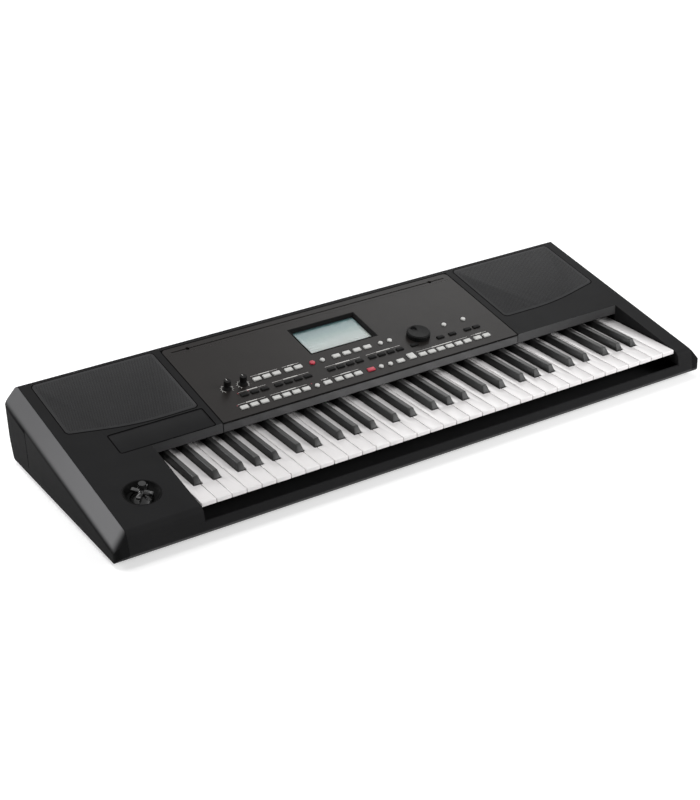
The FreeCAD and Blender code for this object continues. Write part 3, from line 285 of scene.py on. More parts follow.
def painted_over(material, share, colour):
    """Lays a colour over a material's own colour by a share from 0 to 1."""
    tree = material.node_tree
    base = tree.nodes["Principled BSDF"].inputs["Base Color"]
    mix = tree.nodes.new("ShaderNodeMix")
    mix.data_type = "RGBA"
    tree.links.new(share, mix.inputs["Factor"])
    tree.links.new(base.links[0].from_socket, mix.inputs["A"])
    tree.links.new(colour, mix.inputs["B"])
    tree.links.new(mix.outputs["Result"], base)


def grain(tree, shader, scale, depth, edge=0.0):
    bump = tree.nodes.new("ShaderNodeBump")
    if edge:
        rounding = tree.nodes.new("ShaderNodeBevel")
        rounding.samples = shade_samples
        rounding.inputs["Radius"].default_value = edge
        tree.links.new(rounding.outputs["Normal"], bump.inputs["Normal"])
    bump.inputs["Strength"].default_value = 1.0
    bump.inputs["Distance"].default_value = depth
    tree.links.new(object_noise(tree, scale, detail=3.0), bump.inputs["Height"])
    tree.links.new(bump.outputs["Normal"], shader.inputs["Normal"])


def clouded(tree, shader, source, dark, light, high=cloud_high):
    """Colours a shader between two shades by a noise."""
    tree.links.new(ramp(tree, source, [(cloud_low, dark), (high, light)]),
                   shader.inputs["Base Color"])


def scaled(colour, share):
    return [c * share for c in colour]


# Kinds of finish


def moulded(name, colour, rough, grain_scale, grain_depth, vary=0.12, rough_vary=0.08, sheen=0.5,
            edge=0.0):
    """Moulded plastic: clouded colour, patchy sheen, fine grain, edges rounded in the shading."""
    material, tree, shader = new_material(name)
    shader.inputs["Specular IOR Level"].default_value = sheen
    cloud = object_noise(tree, cloud_scale, detail=4.0)
    clouded(tree, shader, cloud, scaled(colour, 1 - vary), scaled(colour, 1 + vary))
    patch = object_noise(tree, patch_scale, detail=5.0)
    tree.links.new(ranged(tree, patch, wanted=(rough - rough_vary, rough + rough_vary)),
                   shader.inputs["Roughness"])
    grain(tree, shader, grain_scale, grain_depth, edge)
    return material


def painted_fascia_light(material, colours, plane):
    """Paints shades of light from left to right on the forward faces in one upright plane."""
    tree = material.node_tree
    place = axes_of(tree, object_place(tree))
    face = tree.nodes.new("ShaderNodeNewGeometry")
    near = worked_out(tree, "COMPARE", place["Y"], plane, band_reach)
    forwards = worked_out(tree, "LESS_THAN", axes_of(tree, face.outputs["True Normal"])["Y"],
                          band_facing)
    along = ranged(tree, place["X"], given=(cad_box[0][0], cad_box[1][0]))
    step = band_length / (len(colours) - 1)
    stops = [(band_first + i * step, colour) for i, colour in enumerate(colours)]
    painted_over(material, worked_out(tree, "MULTIPLY", near, forwards), ramp(tree, along, stops))


def painted_bevel_highlight(material, front, back):
    """Paints highlights on the wide bevels that look out and up, faded at their edges."""
    tree = material.node_tree
    face = axes_of(tree, tree.nodes.new("ShaderNodeNewGeometry").outputs["Normal"])
    place = axes_of(tree, object_place(tree))
    nose = cad_box[0][1]
    sideways = ranged(tree, worked_out(tree, "ABSOLUTE", face["X"]), given=bevel_sideways,
                      curve="SMOOTHSTEP")
    upwards = ranged(tree, face["Z"], given=bevel_upwards, curve="SMOOTHSTEP")
    behind = ranged(tree, place["Y"], given=(nose + bevel_start, nose + bevel_full),
                    curve="SMOOTHSTEP")
    shown = worked_out(tree, "MULTIPLY", worked_out(tree, "MULTIPLY", sideways, upwards), behind)
    along = ranged(tree, place["Y"], given=(nose, cad_box[1][1]), curve="SMOOTHSTEP")
    painted_over(material, shown, ramp(tree, along, [(0.0, front), (1.0, back)]))


def metal(name, colour, rough, stretch):
    """Rolled or plated metal with a fine lengthwise brushing."""
    material, tree, shader = new_material(name)
    shader.inputs["Metallic"].default_value = 1.0
    mapping = tree.nodes.new("ShaderNodeMapping")
    mapping.inputs["Scale"].default_value = stretch
    noise = tree.nodes.new("ShaderNodeTexNoise")
    noise.inputs["Scale"].default_value = brush_scale
    tree.links.new(object_place(tree), mapping.inputs["Vector"])
    tree.links.new(mapping.outputs["Vector"], noise.inputs["Vector"])
    brushing = noise.outputs["Fac"]
    clouded(tree, shader, brushing, scaled(colour, brush_dark), colour)
    tree.links.new(ranged(tree, brushing, wanted=(rough - brush_vary, rough + brush_vary)),
                   shader.inputs["Roughness"])
    return material


def felt(name, colour):
    material, tree, shader = new_material(name)
    fibre = object_noise(tree, scale=1800.0, detail=6.0)
    clouded(tree, shader, fibre, scaled(colour, 0.6), colour)
    shader.inputs["Roughness"].default_value = 0.95
    shader.inputs["Sheen Weight"].default_value = 0.4
    grain(tree, shader, scale=2500.0, depth=0.3 * MM)
    return material


def board_lacquer(name):
    """Green solder lacquer over faint copper tracks."""
    material, tree, shader = new_material(name)
    brick = tree.nodes.new("ShaderNodeTexBrick")
    brick.inputs["Scale"].default_value = 60.0
    brick.inputs["Mortar Size"].default_value = 0.06
    brick.inputs["Color1"].default_value = (0.012, 0.090, 0.030, 1)
    brick.inputs["Color2"].default_value = (0.016, 0.110, 0.040, 1)
    brick.inputs["Mortar"].default_value = (0.030, 0.160, 0.060, 1)
    tree.links.new(object_place(tree), brick.inputs["Vector"])
    tree.links.new(brick.outputs["Color"], shader.inputs["Base Color"])
    shader.inputs["Roughness"].default_value = 0.35
    return material


def clear_window(name):
    material, tree, shader = new_material(name)
    shader.inputs["Base Color"].default_value = (0.92, 0.96, 0.96, 1)
    shader.inputs["Transmission Weight"].default_value = 1.0
    shader.inputs["IOR"].default_value = 1.2
    smear = object_noise(tree, scale=60.0, detail=4.0)
    tree.links.new(ranged(tree, smear, wanted=(0.03, 0.10)), shader.inputs["Roughness"])
    return material


def lit_screen(name, low, high):
    """Display film, pale at the front and blue-green at the back, with faint rows of fields."""
    material, tree, shader = new_material(name)
    place = object_place(tree)
    along = ranged(tree, axes_of(tree, place)["Y"], given=(low, high))
    fields = tree.nodes.new("ShaderNodeTexBrick")
    fields.offset = field_offset
    fields.inputs["Scale"].default_value = 1.0
    fields.inputs["Brick Width"].default_value = field_width
    fields.inputs["Row Height"].default_value = field_height
    fields.inputs["Mortar Size"].default_value = field_line
    for label, shade in field_shades.items():
        fields.inputs[label].default_value = (shade, shade, shade, 1)
    tree.links.new(place, fields.inputs["Vector"])
    shown = tree.nodes.new("ShaderNodeMix")
    shown.data_type = "RGBA"
    shown.blend_type = "MULTIPLY"
    shown.inputs["Factor"].default_value = 1.0
    tree.links.new(ramp(tree, along, screen_shades), shown.inputs["A"])
    tree.links.new(fields.outputs["Color"], shown.inputs["B"])
    tree.links.new(shown.outputs["Result"], shader.inputs["Base Color"])
    tree.links.new(shown.outputs["Result"], shader.inputs["Emission Color"])
    shader.inputs["Emission Strength"].default_value = screen_glow
    shader.inputs["Roughness"].default_value = 0.4
    return material


def printed(name, colour):
    material, tree, shader = new_material(name)
    worn = object_noise(tree, scale=700.0, detail=3.0)
    clouded(tree, shader, worn, scaled(colour, 0.8), colour, worn_high)
    shader.inputs["Roughness"].default_value = 0.55
    return material


# Finishes

even_shell = {"vary": 0.06, "rough_vary": 0.03, "edge": shade_edge}
# The fascia's front and the case faces in its plane get painted light, dark left, light right
fascia_light_greys = ((0.042, 0.042, 0.043), (0.120, 0.120, 0.121), (0.094, 0.094, 0.095))
fascia_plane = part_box("front_fascia")[0][1]
case_plastic = moulded("case_plastic", (0.0165, 0.0165, 0.017), rough=0.40, grain_scale=1400.0,
                       grain_depth=0.02 * MM, sheen=0.025, **even_shell)
painted_fascia_light(case_plastic, fascia_light_greys, fascia_plane)
# End caps: colour a little darker than the case's, as painted shade on their walls
cap_plastic = moulded("cap_plastic", (0.011, 0.011, 0.0115), rough=0.38, grain_scale=1400.0,
                      grain_depth=0.02 * MM, sheen=0.006, **even_shell)
# Painted highlight on the caps' bevels, lighter at the front than at the back
painted_bevel_highlight(cap_plastic, front=(0.225, 0.225, 0.230), back=(0.137, 0.137, 0.140))
# The fascia's own colour is the darkest of its painted light shades
fascia_plastic = moulded("fascia_plastic", fascia_light_greys[0], rough=0.36, grain_scale=1600.0,
                         grain_depth=0.03 * MM, vary=0.05, rough_vary=0.04, sheen=0.4,
                         edge=shade_edge)
painted_fascia_light(fascia_plastic, fascia_light_greys, fascia_plane)
panel_plastic = moulded("panel_plastic", (0.015, 0.0132, 0.0124), rough=0.36, grain_scale=2200.0,
                        grain_depth=0.02 * MM, sheen=0.12, **even_shell)
grille_paint = moulded("grille_paint", (0.026, 0.026, 0.027), rough=0.50, grain_scale=2600.0,
                       grain_depth=0.02 * MM, sheen=0.1, **even_shell)
# Near-black for the painted shadows over the gaps round the plates
gap_shadow_black = moulded("gap_shadow_black", (0.002, 0.002, 0.002), rough=0.90, grain_scale=900.0,
                     grain_depth=0.01 * MM, sheen=0.02)
# Dark grey for the painted shade in the grille holes
hole_shade = moulded("hole_shade", (0.009, 0.009, 0.009), rough=0.90, grain_scale=900.0,
                     grain_depth=0.01 * MM, sheen=0.02)
ivory = moulded("ivory_key", (0.77, 0.75, 0.75), rough=0.22, grain_scale=700.0,
                grain_depth=0.004 * MM, vary=0.02, rough_vary=0.05)
ebony = moulded("ebony_key", (0.010, 0.010, 0.010), rough=0.34, grain_scale=500.0,
                grain_depth=0.001 * MM, rough_vary=0.04, sheen=0.4)
white_cap = moulded("white_cap", (0.54, 0.54, 0.525), rough=0.42, grain_scale=1800.0,
                    grain_depth=0.01 * MM, vary=0.03)
dark_cap = moulded("dark_cap", (0.005, 0.005, 0.005), rough=0.55, grain_scale=1800.0,
                   grain_depth=0.01 * MM, sheen=0.1)
red_cap = moulded("red_cap", (0.42, 0.020, 0.045), rough=0.36, grain_scale=1800.0,
                  grain_depth=0.01 * MM, vary=0.06)
knob_plastic = moulded("knob_plastic", (0.010, 0.010, 0.010), rough=0.42, grain_scale=1600.0,
                       grain_depth=0.01 * MM, sheen=0.06)
stick_plastic = moulded("stick_plastic", (0.012, 0.012, 0.012), rough=0.26, grain_scale=1600.0,
                        grain_depth=0.004 * MM, sheen=0.4)
bezel_plastic = moulded("bezel_plastic", (0.006, 0.006, 0.006), rough=0.60, grain_scale=1600.0,
                        grain_depth=0.01 * MM, sheen=0.05)
socket_plastic = moulded("socket_plastic", (0.015, 0.015, 0.015), rough=0.48, grain_scale=1200.0,
                         grain_depth=0.02 * MM)
rubber = moulded("rubber", (0.018, 0.018, 0.018), rough=0.78, grain_scale=900.0,
                 grain_depth=0.08 * MM)
cone_paper = moulded("cone_paper", (0.020, 0.019, 0.018), rough=0.85, grain_scale=1200.0,
                     grain_depth=0.15 * MM)
steel = metal("plated_steel", (0.56, 0.56, 0.55), rough=0.32, stretch=(1, 30, 30))
basket_paint = moulded("basket_paint", (0.05, 0.05, 0.05), rough=0.45, grain_scale=1100.0,
                       grain_depth=0.03 * MM)
stop_felt = felt("stop_felt", (0.25, 0.030, 0.035))
lacquer = board_lacquer("board_lacquer")
window_clear = clear_window("window_clear")
pale_print = printed("pale_print", (0.60, 0.59, 0.57))
dim_print = printed("dim_print", (0.38, 0.37, 0.36))
red_print = printed("red_print", (0.30, 0.03, 0.05))
screen_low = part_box("display_window")[0][1]
screen_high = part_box("display_window")[1][1]
screen_film = lit_screen("screen_film", screen_low, screen_high)

slot_material = {
    "case_shell": case_plastic, "fascia_plastic": fascia_plastic, "panel_plastic": panel_plastic,
    "grille_metal": grille_paint, "basket_metal": basket_paint, "cone_paper": cone_paper,
    "circuit_board": lacquer, "component_plastic": socket_plastic, "knob_plastic": knob_plastic,
    "white_button": white_cap, "dark_button": dark_cap, "red_button": red_cap,
    "bezel_plastic": bezel_plastic, "display_glass": window_clear, "display_panel": screen_film,
    "ivory_key": ivory, "ebony_key": ebony, "steel_sheet": steel, "stop_felt": stop_felt,
    "contact_rubber": rubber,
}
node_material = {
    "name_plate": case_plastic, "music_rest_rail": panel_plastic, "left_end_cap": cap_plastic,
    "right_end_cap": cap_plastic, "joystick_stick": stick_plastic,
}


def finish_of(node):
    return node_material.get(node, slot_material[slot_of[node]])


for node, part in frame["nodes"].items():
    for slot in part.material_slots:
        slot.material = finish_of(node)


# Pieces


def add_object(name, data):
    made = bpy.data.objects.new(name, data)
    bpy.context.scene.collection.objects.link(made)
    return made


def add_piece(name, mesh, material, body):
    piece = add_object(name, mesh)
    mesh.materials.clear()
    mesh.materials.append(material)
    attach(piece, body)
    return piece


def frozen(source, name):
    """The evaluated shape of an object with modifiers, as a plain mesh; the object is removed."""
    graph = bpy.context.evaluated_depsgraph_get()
    mesh = bpy.data.meshes.new_from_object(source.evaluated_get(graph))
    mesh.name = name
    bpy.data.objects.remove(source)
    return mesh


def thin_sheet(name, corners, faces, depth):
    """A closed sheet of some thickness below the given flat faces."""
    flat = bpy.data.meshes.new(name + "_flat")
    flat.from_pydata(corners, [], faces)
    source = add_object(name + "_flat", flat)
    thick = source.modifiers.new("thick", "SOLIDIFY")
    thick.thickness = depth
    thick.offset = -1
    return frozen(source, name)


def bars(fours):
    """Corners and faces of separate bars, each given by its four corners."""
    corners = [corner for four in fours for corner in four]
    return corners, [tuple(range(first, first + 4)) for first in range(0, len(corners), 4)]


def merged_copy(node, join_flats):
    """A copy of a CAD node's mesh with its triangles joined, and its flats made whole if asked."""
    shape = bmesh.new()
    shape.from_mesh(frame["nodes"][node].data)
    bmesh.ops.remove_doubles(shape, verts=shape.verts, dist=weld_gap)
    bmesh.ops.dissolve_degenerate(shape, dist=weld_gap, edges=shape.edges)
    if join_flats:
        bmesh.ops.dissolve_limit(shape, angle_limit=flat_angle, verts=shape.verts,
                                 edges=shape.edges)
    mesh = bpy.data.meshes.new(node + "_merged")
    shape.to_mesh(mesh)
    shape.free()
    mesh.polygons.foreach_set("use_smooth", [True] * len(mesh.polygons))
    return mesh


def smooth_shaded(node, angle=edge_angle):
    """Replaces a CAD node by the same shape with its curved faces shaded smooth."""
    mesh = merged_copy(node, join_flats=True)
    mesh.set_sharp_from_angle(angle=angle)
    rough = add_object(node + "_rough", mesh)
    even = rough.modifiers.new("even", "WEIGHTED_NORMAL")
    even.weight = flat_weight
    even.keep_sharp = True
    smooth = frozen(rough, node + "_smooth")
    piece = add_piece(node + "_smooth", smooth, finish_of(node), body_of[node])
    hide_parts(node)


def soften(node, width, join_flats):
    """Replaces a CAD node by the same shape with rounded edges."""
    rough = add_object(node + "_rough", merged_copy(node, join_flats))
    bevel = rough.modifiers.new("edges", "BEVEL")
    bevel.width = width
    bevel.segments = edge_steps
    bevel.limit_method = "ANGLE"
    bevel.angle_limit = edge_angle
    bevel.use_clamp_overlap = False
    bevel.miter_outer = "MITER_ARC"
    bevel.harden_normals = True
    soft = frozen(rough, node + "_soft")
    piece = add_piece(node + "_soft", soft, finish_of(node), body_of[node])
    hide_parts(node)


for node in ("upper_case", "lower_case", "left_end_cap", "right_end_cap", "control_panel",
             "joystick_cup", "value_dial", "volume_knob", "balance_knob", "rubber_feet",
             "speaker_cones"):
    smooth_shaded(node)
smooth_shaded("joystick_stick", stick_angle)
edge_of_slot = {"ivory_key": key_edge, "ebony_key": sharp_key_edge}
edge_of_slot.update({slot: button_edge for slot in button_slots})
for node, slot in slot_of.items():
    if slot in edge_of_slot:
        soften(node, edge_of_slot[slot], join_flats=True)
for node in ("name_plate", "left_speaker_grille", "right_speaker_grille", "power_button"):
    soften(node, trim_edge, join_flats=False)


# Geometry node trees


def new_tree(name, sizes):
    """A geometry tree with a geometry input and output, a finish, and inputs for its sizes."""
    tree = bpy.data.node_groups.new(name, "GeometryNodeTree")
    tree.interface.new_socket("Geometry", in_out="INPUT", socket_type="NodeSocketGeometry")
    for label, kind in (*sizes, ("Finish", "NodeSocketMaterial")):
        tree.interface.new_socket(label, in_out="INPUT", socket_type=kind)
    tree.interface.new_socket("Geometry", in_out="OUTPUT", socket_type="NodeSocketGeometry")
    return tree, tree.nodes.new("NodeGroupInput")


def set_on_points(tree, given, shape, axis, angle):
    """Ends a tree in realised copies of a shape on the given points, turned about one axis."""
    turn = tree.nodes.new("ShaderNodeCombineXYZ")
    place = tree.nodes.new("GeometryNodeInstanceOnPoints")
    real = tree.nodes.new("GeometryNodeRealizeInstances")
    finish = tree.nodes.new("GeometryNodeSetMaterial")
    out = tree.nodes.new("NodeGroupOutput")
    tree.links.new(angle, turn.inputs[axis])
    tree.links.new(given["Geometry"], place.inputs["Points"])
    tree.links.new(shape, place.inputs["Instance"])
    tree.links.new(turn.outputs["Vector"], place.inputs["Rotation"])
    tree.links.new(place.outputs["Instances"], real.inputs["Geometry"])
    tree.links.new(real.outputs["Geometry"], finish.inputs["Geometry"])
    tree.links.new(given["Finish"], finish.inputs["Material"])
    tree.links.new(finish.outputs["Geometry"], out.inputs["Geometry"])


def grow(tree, name, points, values):
    """Runs a tree on some points and returns the result as a plain mesh."""
    mesh = bpy.data.meshes.new(name + "_points")
    mesh.from_pydata(points, [], [])
    source = add_object(name + "_source", mesh)
    modifier = source.modifiers.new("grow", "NODES")
    modifier.node_group = tree
    for item in tree.interface.items_tree:
        if item.in_out == "INPUT" and item.name in values:
            modifier[item.identifier] = values[item.name]
    return frozen(source, name)


def hole_shade_disc_tree():
    """Flat dark discs set on given points, turned with the panel: painted shade in place of holes.
    """
    tree, source = new_tree("hole_shade_discs", (("Radius", "NodeSocketFloat"),
                                            ("Sides", "NodeSocketInt"),
                                            ("Tilt", "NodeSocketFloat")))
    given = source.outputs
    disc = tree.nodes.new("GeometryNodeMeshCircle")
    disc.fill_type = "NGON"
    tree.links.new(given["Radius"], disc.inputs["Radius"])
    tree.links.new(given["Sides"], disc.inputs["Vertices"])
    set_on_points(tree, given, disc.outputs["Mesh"], "X", given["Tilt"])
    return tree


def rib_tree():
    """Upright ribs set on given points of a ring about the origin, each facing outwards."""
    tree, source = new_tree("ribs", (("Width", "NodeSocketFloat"), ("Depth", "NodeSocketFloat"),
                                     ("Height", "NodeSocketFloat")))
    given = source.outputs
    size = tree.nodes.new("ShaderNodeCombineXYZ")
    for label, axis in (("Depth", "X"), ("Width", "Y"), ("Height", "Z")):
        tree.links.new(given[label], size.inputs[axis])
    rib = tree.nodes.new("GeometryNodeMeshCube")
    tree.links.new(size.outputs["Vector"], rib.inputs["Size"])
    where = tree.nodes.new("GeometryNodeInputPosition")
    place = axes_of(tree, where.outputs["Position"])
    angle = worked_out(tree, "ARCTAN2", place["Y"], place["X"])
    set_on_points(tree, given, rib.outputs["Mesh"], "Z", angle)
    return tree


def collar_tree():
    """Square-edged rings set on given points, lying on an upright face."""
    tree, source = new_tree("collars", (("Radius", "NodeSocketFloat"), ("Band", "NodeSocketFloat"),
                                        ("Depth", "NodeSocketFloat"), ("Turn", "NodeSocketFloat")))
    given = source.outputs
    ring = tree.nodes.new("GeometryNodeCurvePrimitiveCircle")
    ring.inputs["Resolution"].default_value = collar_sides
    tree.links.new(given["Radius"], ring.inputs["Radius"])
    edge = tree.nodes.new("GeometryNodeCurvePrimitiveQuadrilateral")
    tree.links.new(given["Band"], edge.inputs["Width"])
    tree.links.new(given["Depth"], edge.inputs["Height"])
    body = tree.nodes.new("GeometryNodeCurveToMesh")
    tree.links.new(ring.outputs["Curve"], body.inputs["Curve"])
    tree.links.new(edge.outputs["Curve"], body.inputs["Profile Curve"])
    set_on_points(tree, given, body.outputs["Mesh"], "X", given["Turn"])
    return tree


hole_shade_discs = hole_shade_disc_tree()
ribs = rib_tree()
collars = collar_tree()


def grille_holes(node):
    """Points of a staggered grid that lie well inside a grille's top face."""
    shape = bmesh.new()
    shape.from_mesh(frame["nodes"][node].data)
    tree = BVHTree.FromBMesh(shape)
    shape.free()
    corners = [from_panel(vertex.co) for vertex in frame["nodes"][node].data.vertices]
    low = [min(c[i] for c in corners) for i in range(3)]
    high = [max(c[i] for c in corners) for i in range(3)]
    row_step = hole_pitch * math.sqrt(3) / 2
    above = high[2] + hole_margin
    sides = [(0, 0), (hole_margin, 0), (-hole_margin, 0), (0, hole_margin), (0, -hole_margin)]
    points = []
    for row in range(int((high[1] - low[1]) / row_step)):
        v = low[1] + row * row_step
        for column in range(int((high[0] - low[0]) / hole_pitch)):
            u = low[0] + (column + row % 2 / 2) * hole_pitch
            if all(tree.ray_cast(on_panel(u + a, v + b, above), -panel_normal)[0]
                   for a, b in sides):
                points.append(on_panel(u, v, high[2] + hole_lift))
    return points


# Dark discs over the grilles: painted shade where the holes would show the dark inside
for node in ("left_speaker_grille", "right_speaker_grille"):
    holes = grow(hole_shade_discs, node + "_holes", grille_holes(node),
                 {"Radius": hole_radius, "Sides": hole_sides, "Tilt": panel_tilt,
                  "Finish": hole_shade})
    add_piece(node + "_holes", holes, hole_shade, body_of[node])


def rib_ring(name, node, joint, count, radius, low, high, rib_width, rib_depth):
    """A ring of grip ribs round a control, about its axis on the panel."""
    turn = 2 * math.pi / count
    middle = (low + high) / 2
    points = [(radius * math.cos(i * turn), radius * math.sin(i * turn), middle)
              for i in range(count)]
    mesh = grow(ribs, name, points, {"Width": rib_width, "Depth": rib_depth, "Height": high - low,
                                     "Finish": knob_plastic})
    mesh.transform(Matrix.Translation(Vector(joints[joint]["pos_m"])) @ panel_turn)
    add_piece(name, mesh, knob_plastic, body_of[node])


rib_ring("dial_grip", "value_dial", "dial_turn", dial_ribs, dial_rib_ring, dial_rib_low,
         dial_rib_high, dial_rib_width, dial_rib_depth)
for knob in ("volume", "balance"):
    rib_ring(knob + "_grip", knob + "_knob", knob + "_turn", knob_ribs, knob_rib_ring,
             knob_rib_low, knob_rib_high, knob_rib_width, knob_rib_depth)


# Collars and print on the rear plate

rear_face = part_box("rear_jack_plate")[1][1]
jack_places = [mount["pos_m"] for mount in record["mounts"] if mount["name"].endswith("_jack")]
collar_points = [(x, rear_face + collar_depth / 2, z) for x, y, z in jack_places]
jack_collars = grow(collars, "jack_collars", collar_points,
                    {"Radius": collar_radius, "Band": collar_band, "Depth": collar_depth,
                     "Turn": math.pi / 2, "Finish": steel})
add_piece("jack_collars", jack_collars, steel, "case")


def rear_words(name, middles, low):
    """Short printed bars above the sockets of the rear plate."""
    y = rear_face + print_lift
    high = low + word_height
    half = rear_word / 2
    corners, faces = bars([((x + half, y, low), (x - half, y, low),
                            (x - half, y, high), (x + half, y, high)) for x in middles])
    sheet = thin_sheet(name, corners, faces, print_depth)
    add_piece(name, sheet, dim_print, "case")


def middle_of(node):
    return (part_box(node)[0][0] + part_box(node)[1][0]) / 2


rear_words("rear_print",
           [x for x, y, z in jack_places] + [middle_of("power_inlet"), middle_of("power_button")],
           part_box("rear_jack_plate")[1][2] - rear_word_drop)


# Painted shadow over the gaps round the plates


def outline_of(nodes):
    """The outer outline of some plates on the panel's plane, anticlockwise."""
    places = [from_panel(vertex.co) for node in nodes
              for vertex in frame["nodes"][node].data.vertices]
    points = sorted({(round(place.x, outline_digits), round(place.y, outline_digits))
                     for place in places if place.z > -plate_depth})

    def half(run):
        chain = []
        for x, y in run:
            while len(chain) > 1 and ((chain[-1][0] - chain[-2][0]) * (y - chain[-2][1])
                                      <= (chain[-1][1] - chain[-2][1]) * (x - chain[-2][0])):
                chain.pop()
            chain.append((x, y))
        return chain[:-1]

    return [Vector(point) for point in half(points) + half(reversed(points))]


def moved_out(outline, distance):
    """An outline with each side moved outwards."""
    moved = []
    for i, point in enumerate(outline):
        before = (point - outline[i - 1]).normalized()
        after = (outline[(i + 1) % len(outline)] - point).normalized()
        out = Vector((before.y + after.y, -before.x - after.x)).normalized()
        share = max(out.dot(Vector((before.y, -before.x))), corner_limit)
        moved.append(point + out * distance / share)
    return moved


def gap_shadow_strip(name, nodes):
    """A thin dark sheet over the gap round a plate, painted shadow of the gap."""
    outline = outline_of(nodes)
    rings = [moved_out(outline, -gap_shadow_in), moved_out(outline, gap_shadow_out)]
    corners = [on_panel(point.x, point.y, gap_shadow_lift) for ring in rings for point in ring]
    count = len(outline)
    faces = [(i, count + i, count + (i + 1) % count, (i + 1) % count) for i in range(count)]
    sheet = thin_sheet(name, corners, faces, gap_shadow_depth)
    add_piece(name, sheet, gap_shadow_black, "case")


gap_shadow_strip("panel_gap_shadow", ("control_panel", "music_rest_rail"))
gap_shadow_strip("left_grille_gap_shadow", ("left_speaker_grille",))
gap_shadow_strip("right_grille_gap_shadow", ("right_speaker_grille",))
gap_shadow_strip("name_plate_gap_shadow", ("name_plate",))


# Print on the panel


def caps_of(node):
    """Outlines of a node's separate caps on the panel, as left, right, front and back."""
    shape = bmesh.new()
    shape.from_mesh(frame["nodes"][node].data)
    bmesh.ops.remove_doubles(shape, verts=shape.verts, dist=weld_gap)
    waiting = set(shape.verts)
    caps = []
    while waiting:
        stack = [waiting.pop()]
        found = []
        while stack:
            vertex = stack.pop()
            found.append(from_panel(vertex.co))
            for edge in vertex.link_edges:
                other = edge.other_vert(vertex)
                if other in waiting:
                    waiting.remove(other)
                    stack.append(other)
        caps.append((min(p.x for p in found), max(p.x for p in found),
                     min(p.y for p in found), max(p.y for p in found)))
    shape.free()
    return sorted(caps)


def panel_sheet(name, corners, faces, material):
    """Thin print that stays on the panel."""
    sheet = thin_sheet(name, corners, faces, print_depth)
    add_piece(name, sheet, material, "case")


def marks(name, rectangles, material):
    """Thin printed rectangles on the panel, each as left, right, front and back."""
    fours = [((left, front), (right, front), (right, back), (left, back))
             for left, right, front, back in rectangles]
    corners, faces = bars([[on_panel(u, v, print_lift) for u, v in four] for four in fours])
    panel_sheet(name, corners, faces, material)


def label_over(caps):
    """A thin rule behind a run of caps, broken in the middle by a thicker bar."""
    left = caps[0][0]
    right = caps[-1][1]
    back = max(cap[3] for cap in caps) + label_gap
    half = (right - left) * word_share / 2
    middle = (left + right) / 2
    low = back + (word_height - rule_height) / 2
    rules = [(left, middle - half - letter_gap, low, low + rule_height),
             (middle + half + letter_gap, right, low, low + rule_height)]
    return rules, (middle - half, middle + half, back, back + word_height)


def lamp_by(cap):
    """A small lamp mark behind the left end of a cap."""
    back = cap[3] + lamp_gap
    return (cap[0] - lamp_size - letter_gap, cap[0] - letter_gap, back, back + lamp_size)


groups = {node: caps_of(node) for node, slot in slot_of.items() if slot in button_slots}
runs = [groups[node][first:last] for node, first, last in (
    ("style_buttons", 0, 3), ("style_buttons", 3, None),
    ("sequencer_buttons", 0, 1), ("sequencer_buttons", 1, None),
    ("part_buttons", 2, 8), ("part_buttons", 8, None),
    ("ensemble_buttons", 0, 3), ("ensemble_buttons", 3, None),
    ("style_bank_buttons", 0, 3), ("style_bank_buttons", 3, None),
    ("sound_bank_buttons", 0, 4), ("sound_bank_buttons", 4, 8))]
labels = [label_over(caps) for caps in runs]
lamp_caps = (groups["style_buttons"][:1] + groups["style_bank_buttons"][:2]
             + groups["round_buttons"][:1])
marks("print_words", [word for rules, word in labels], pale_print)
marks("print_rules", [rule for rules, word in labels for rule in rules], dim_print)
marks("print_lamps", [lamp_by(cap) for cap in lamp_caps], red_print)


def arc_strip(middle, inner, outer, start, sweep, steps):
    """Corners and faces of a flat ring piece on the panel."""
    corners = []
    for i in range(steps + 1):
        angle = start + sweep * i / steps
        for radius in (inner, outer):
            corners.append(on_panel(middle.x + radius * math.cos(angle),
                                    middle.y + radius * math.sin(angle), print_lift))
    faces = [(2 * i, 2 * i + 1, 2 * i + 3, 2 * i + 2) for i in range(steps)]
    return corners, faces


def knob_scale(name, joint):
    """A printed arc round a knob, with ticks."""
    middle = from_panel(joints[joint]["pos_m"])
    start = math.pi / 2 - tick_sweep / 2
    half = tick_width / tick_radius / 2
    corners, faces = arc_strip(middle, arc_radius, arc_radius + tick_width, start, tick_sweep,
                               arc_steps)
    for i in range(tick_count):
        centre = start + tick_sweep * i / (tick_count - 1)
        more, quad = arc_strip(middle, tick_radius, tick_radius + tick_length, centre - half,
                               2 * half, 1)
        faces += [tuple(len(corners) + index for index in face) for face in quad]
        corners += more
    panel_sheet(name, corners, faces, pale_print)


def knob_pointer(name, node, joint):
    """A pale line from the middle of a knob's top to its rim, turning with the knob."""
    middle = from_panel(joints[joint]["pos_m"])
    points = [from_panel(vertex.co) for vertex in frame["nodes"][node].data.vertices]
    top = max(point.z for point in points)
    rim = max((point - middle).xy.length for point in points if point.z > top - pointer_lift)
    half = pointer_width / 2
    start = rim * pointer_start
    end = rim * pointer_end
    corners = [on_panel(middle.x + u, middle.y + v, top + pointer_lift)
               for u, v in ((-half, start), (half, start), (half, end), (-half, end))]
    sheet = thin_sheet(name, corners, [(0, 1, 2, 3)], print_depth)
    add_piece(name, sheet, pale_print, body_of[node])


for knob in ("volume", "balance"):
    knob_scale(knob + "_scale", knob + "_turn")
    knob_pointer(knob + "_pointer", knob + "_knob", knob + "_turn")


# Stage, light and camera


def seen_rays(tree):
    """1 for rays from the camera, mirrors and glass, 0 for rays that only carry light."""
    rays = tree.nodes.new("ShaderNodeLightPath").outputs
    mirrored = worked_out(tree, "MAXIMUM", rays["Is Glossy Ray"], rays["Is Transmission Ray"])
    return worked_out(tree, "MAXIMUM", rays["Is Camera Ray"], mirrored)


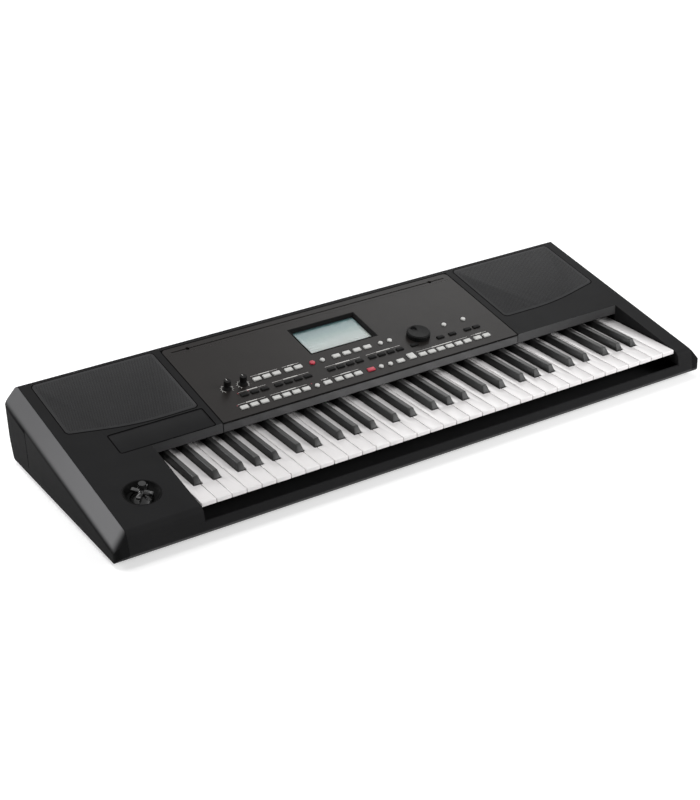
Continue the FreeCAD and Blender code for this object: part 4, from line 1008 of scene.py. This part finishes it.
def stage_material(name):
    """A pale floor, lifted to white where no shadow falls on it, and more far from the lamps."""
    material, tree, shader = new_material(name)
    shader.inputs["Base Color"].default_value = (*floor_colour, 1)
    shader.inputs["Roughness"].default_value = 0.9
    shader.inputs["Specular IOR Level"].default_value = 0.0
    away = tree.nodes.new("ShaderNodeVectorMath")
    away.operation = "LENGTH"
    tree.links.new(object_place(tree), away.inputs[0])
    lift = ranged(tree, away.outputs["Value"], given=(floor_near, floor_far),
                  wanted=(near_lift, far_lift))
    shader.inputs["Emission Color"].default_value = (1, 1, 1, 1)
    tree.links.new(worked_out(tree, "MULTIPLY", seen_rays(tree), lift),
                   shader.inputs["Emission Strength"])
    return material


floor_mesh = bpy.data.meshes.new("floor")
floor_mesh.from_pydata([(-floor_half, -floor_half, 0), (floor_half, -floor_half, 0),
                        (floor_half, floor_half, 0), (-floor_half, floor_half, 0)],
                       [], [(0, 1, 2, 3)])
floor_mesh.materials.append(stage_material("floor_pale"))
floor = add_object("floor", floor_mesh)

world = bpy.data.worlds.new("studio")
world.use_nodes = True
sky_tree = world.node_tree
sky = sky_tree.nodes["Background"]
sky.inputs["Color"].default_value = (1, 1, 1, 1)
sky_tree.links.new(ranged(sky_tree, seen_rays(sky_tree), wanted=(sky_light, sky_seen)),
                   sky.inputs["Strength"])
bpy.context.scene.world = world


def soft_box(name, place, target, size, power, mirrored=True):
    """A soft box aimed at a point; unmirrored, it lights the part without glare on flat plates."""
    light = bpy.data.lights.new(name, "AREA")
    light.shape = "RECTANGLE"
    light.size, light.size_y = size
    light.energy = power
    lamp = add_object(name, light)
    lamp.location = place
    aim = Vector(target) - Vector(place)
    lamp.rotation_euler = aim.to_track_quat("-Z", "Y").to_euler()
    lamp.visible_camera = False
    lamp.visible_glossy = mirrored


soft_box("back_left_box", place=(-1.33, 1.16, 0.62), target=(-0.5, 0, 0.09), size=(0.8, 0.45),
         power=12)
soft_box("top_box", place=(-0.8, 0.3, 2.6), target=(-0.1, 0, 0.05), size=(1.6, 1.0), power=27)
soft_box("front_right_box", place=(1.45, -1.75, 1.0), target=(0.25, 0, 0.08), size=(1.2, 1.0),
         power=31, mirrored=False)
soft_box("front_right_card", place=(1.3, -1.77, 1.33), target=(0.1, -0.09, 0.08),
         size=(1.2, 0.5), power=14)
soft_box("rear_box", place=(0.1, 2.3, 0.36), target=(0, 0.19, 0.06), size=(1.8, 0.6), power=22,
         mirrored=False)
soft_box("back_right_box", place=(1.45, 1.45, 1.55), target=(0.2, 0.1, 0.1), size=(0.9, 0.8),
         power=5)

camera_data = bpy.data.cameras.new("camera")
camera_data.lens = camera_lens
camera_data.sensor_width = camera_sensor
camera = add_object("camera", camera_data)
forward = Vector((math.sin(camera_yaw) * math.cos(camera_pitch),
                  math.cos(camera_yaw) * math.cos(camera_pitch), -math.sin(camera_pitch)))
level = Vector((math.cos(camera_yaw), -math.sin(camera_yaw), 0))
rise = level.cross(forward)
right = math.cos(camera_roll) * level + math.sin(camera_roll) * rise
up = -math.sin(camera_roll) * level + math.cos(camera_roll) * rise
camera.matrix_world = Matrix((
    (right.x, up.x, -forward.x, camera_place.x),
    (right.y, up.y, -forward.y, camera_place.y),
    (right.z, up.z, -forward.z, camera_place.z),
    (0, 0, 0, 1)))
bpy.context.scene.camera = camera
bpy.context.scene.view_settings.view_transform = "Standard"
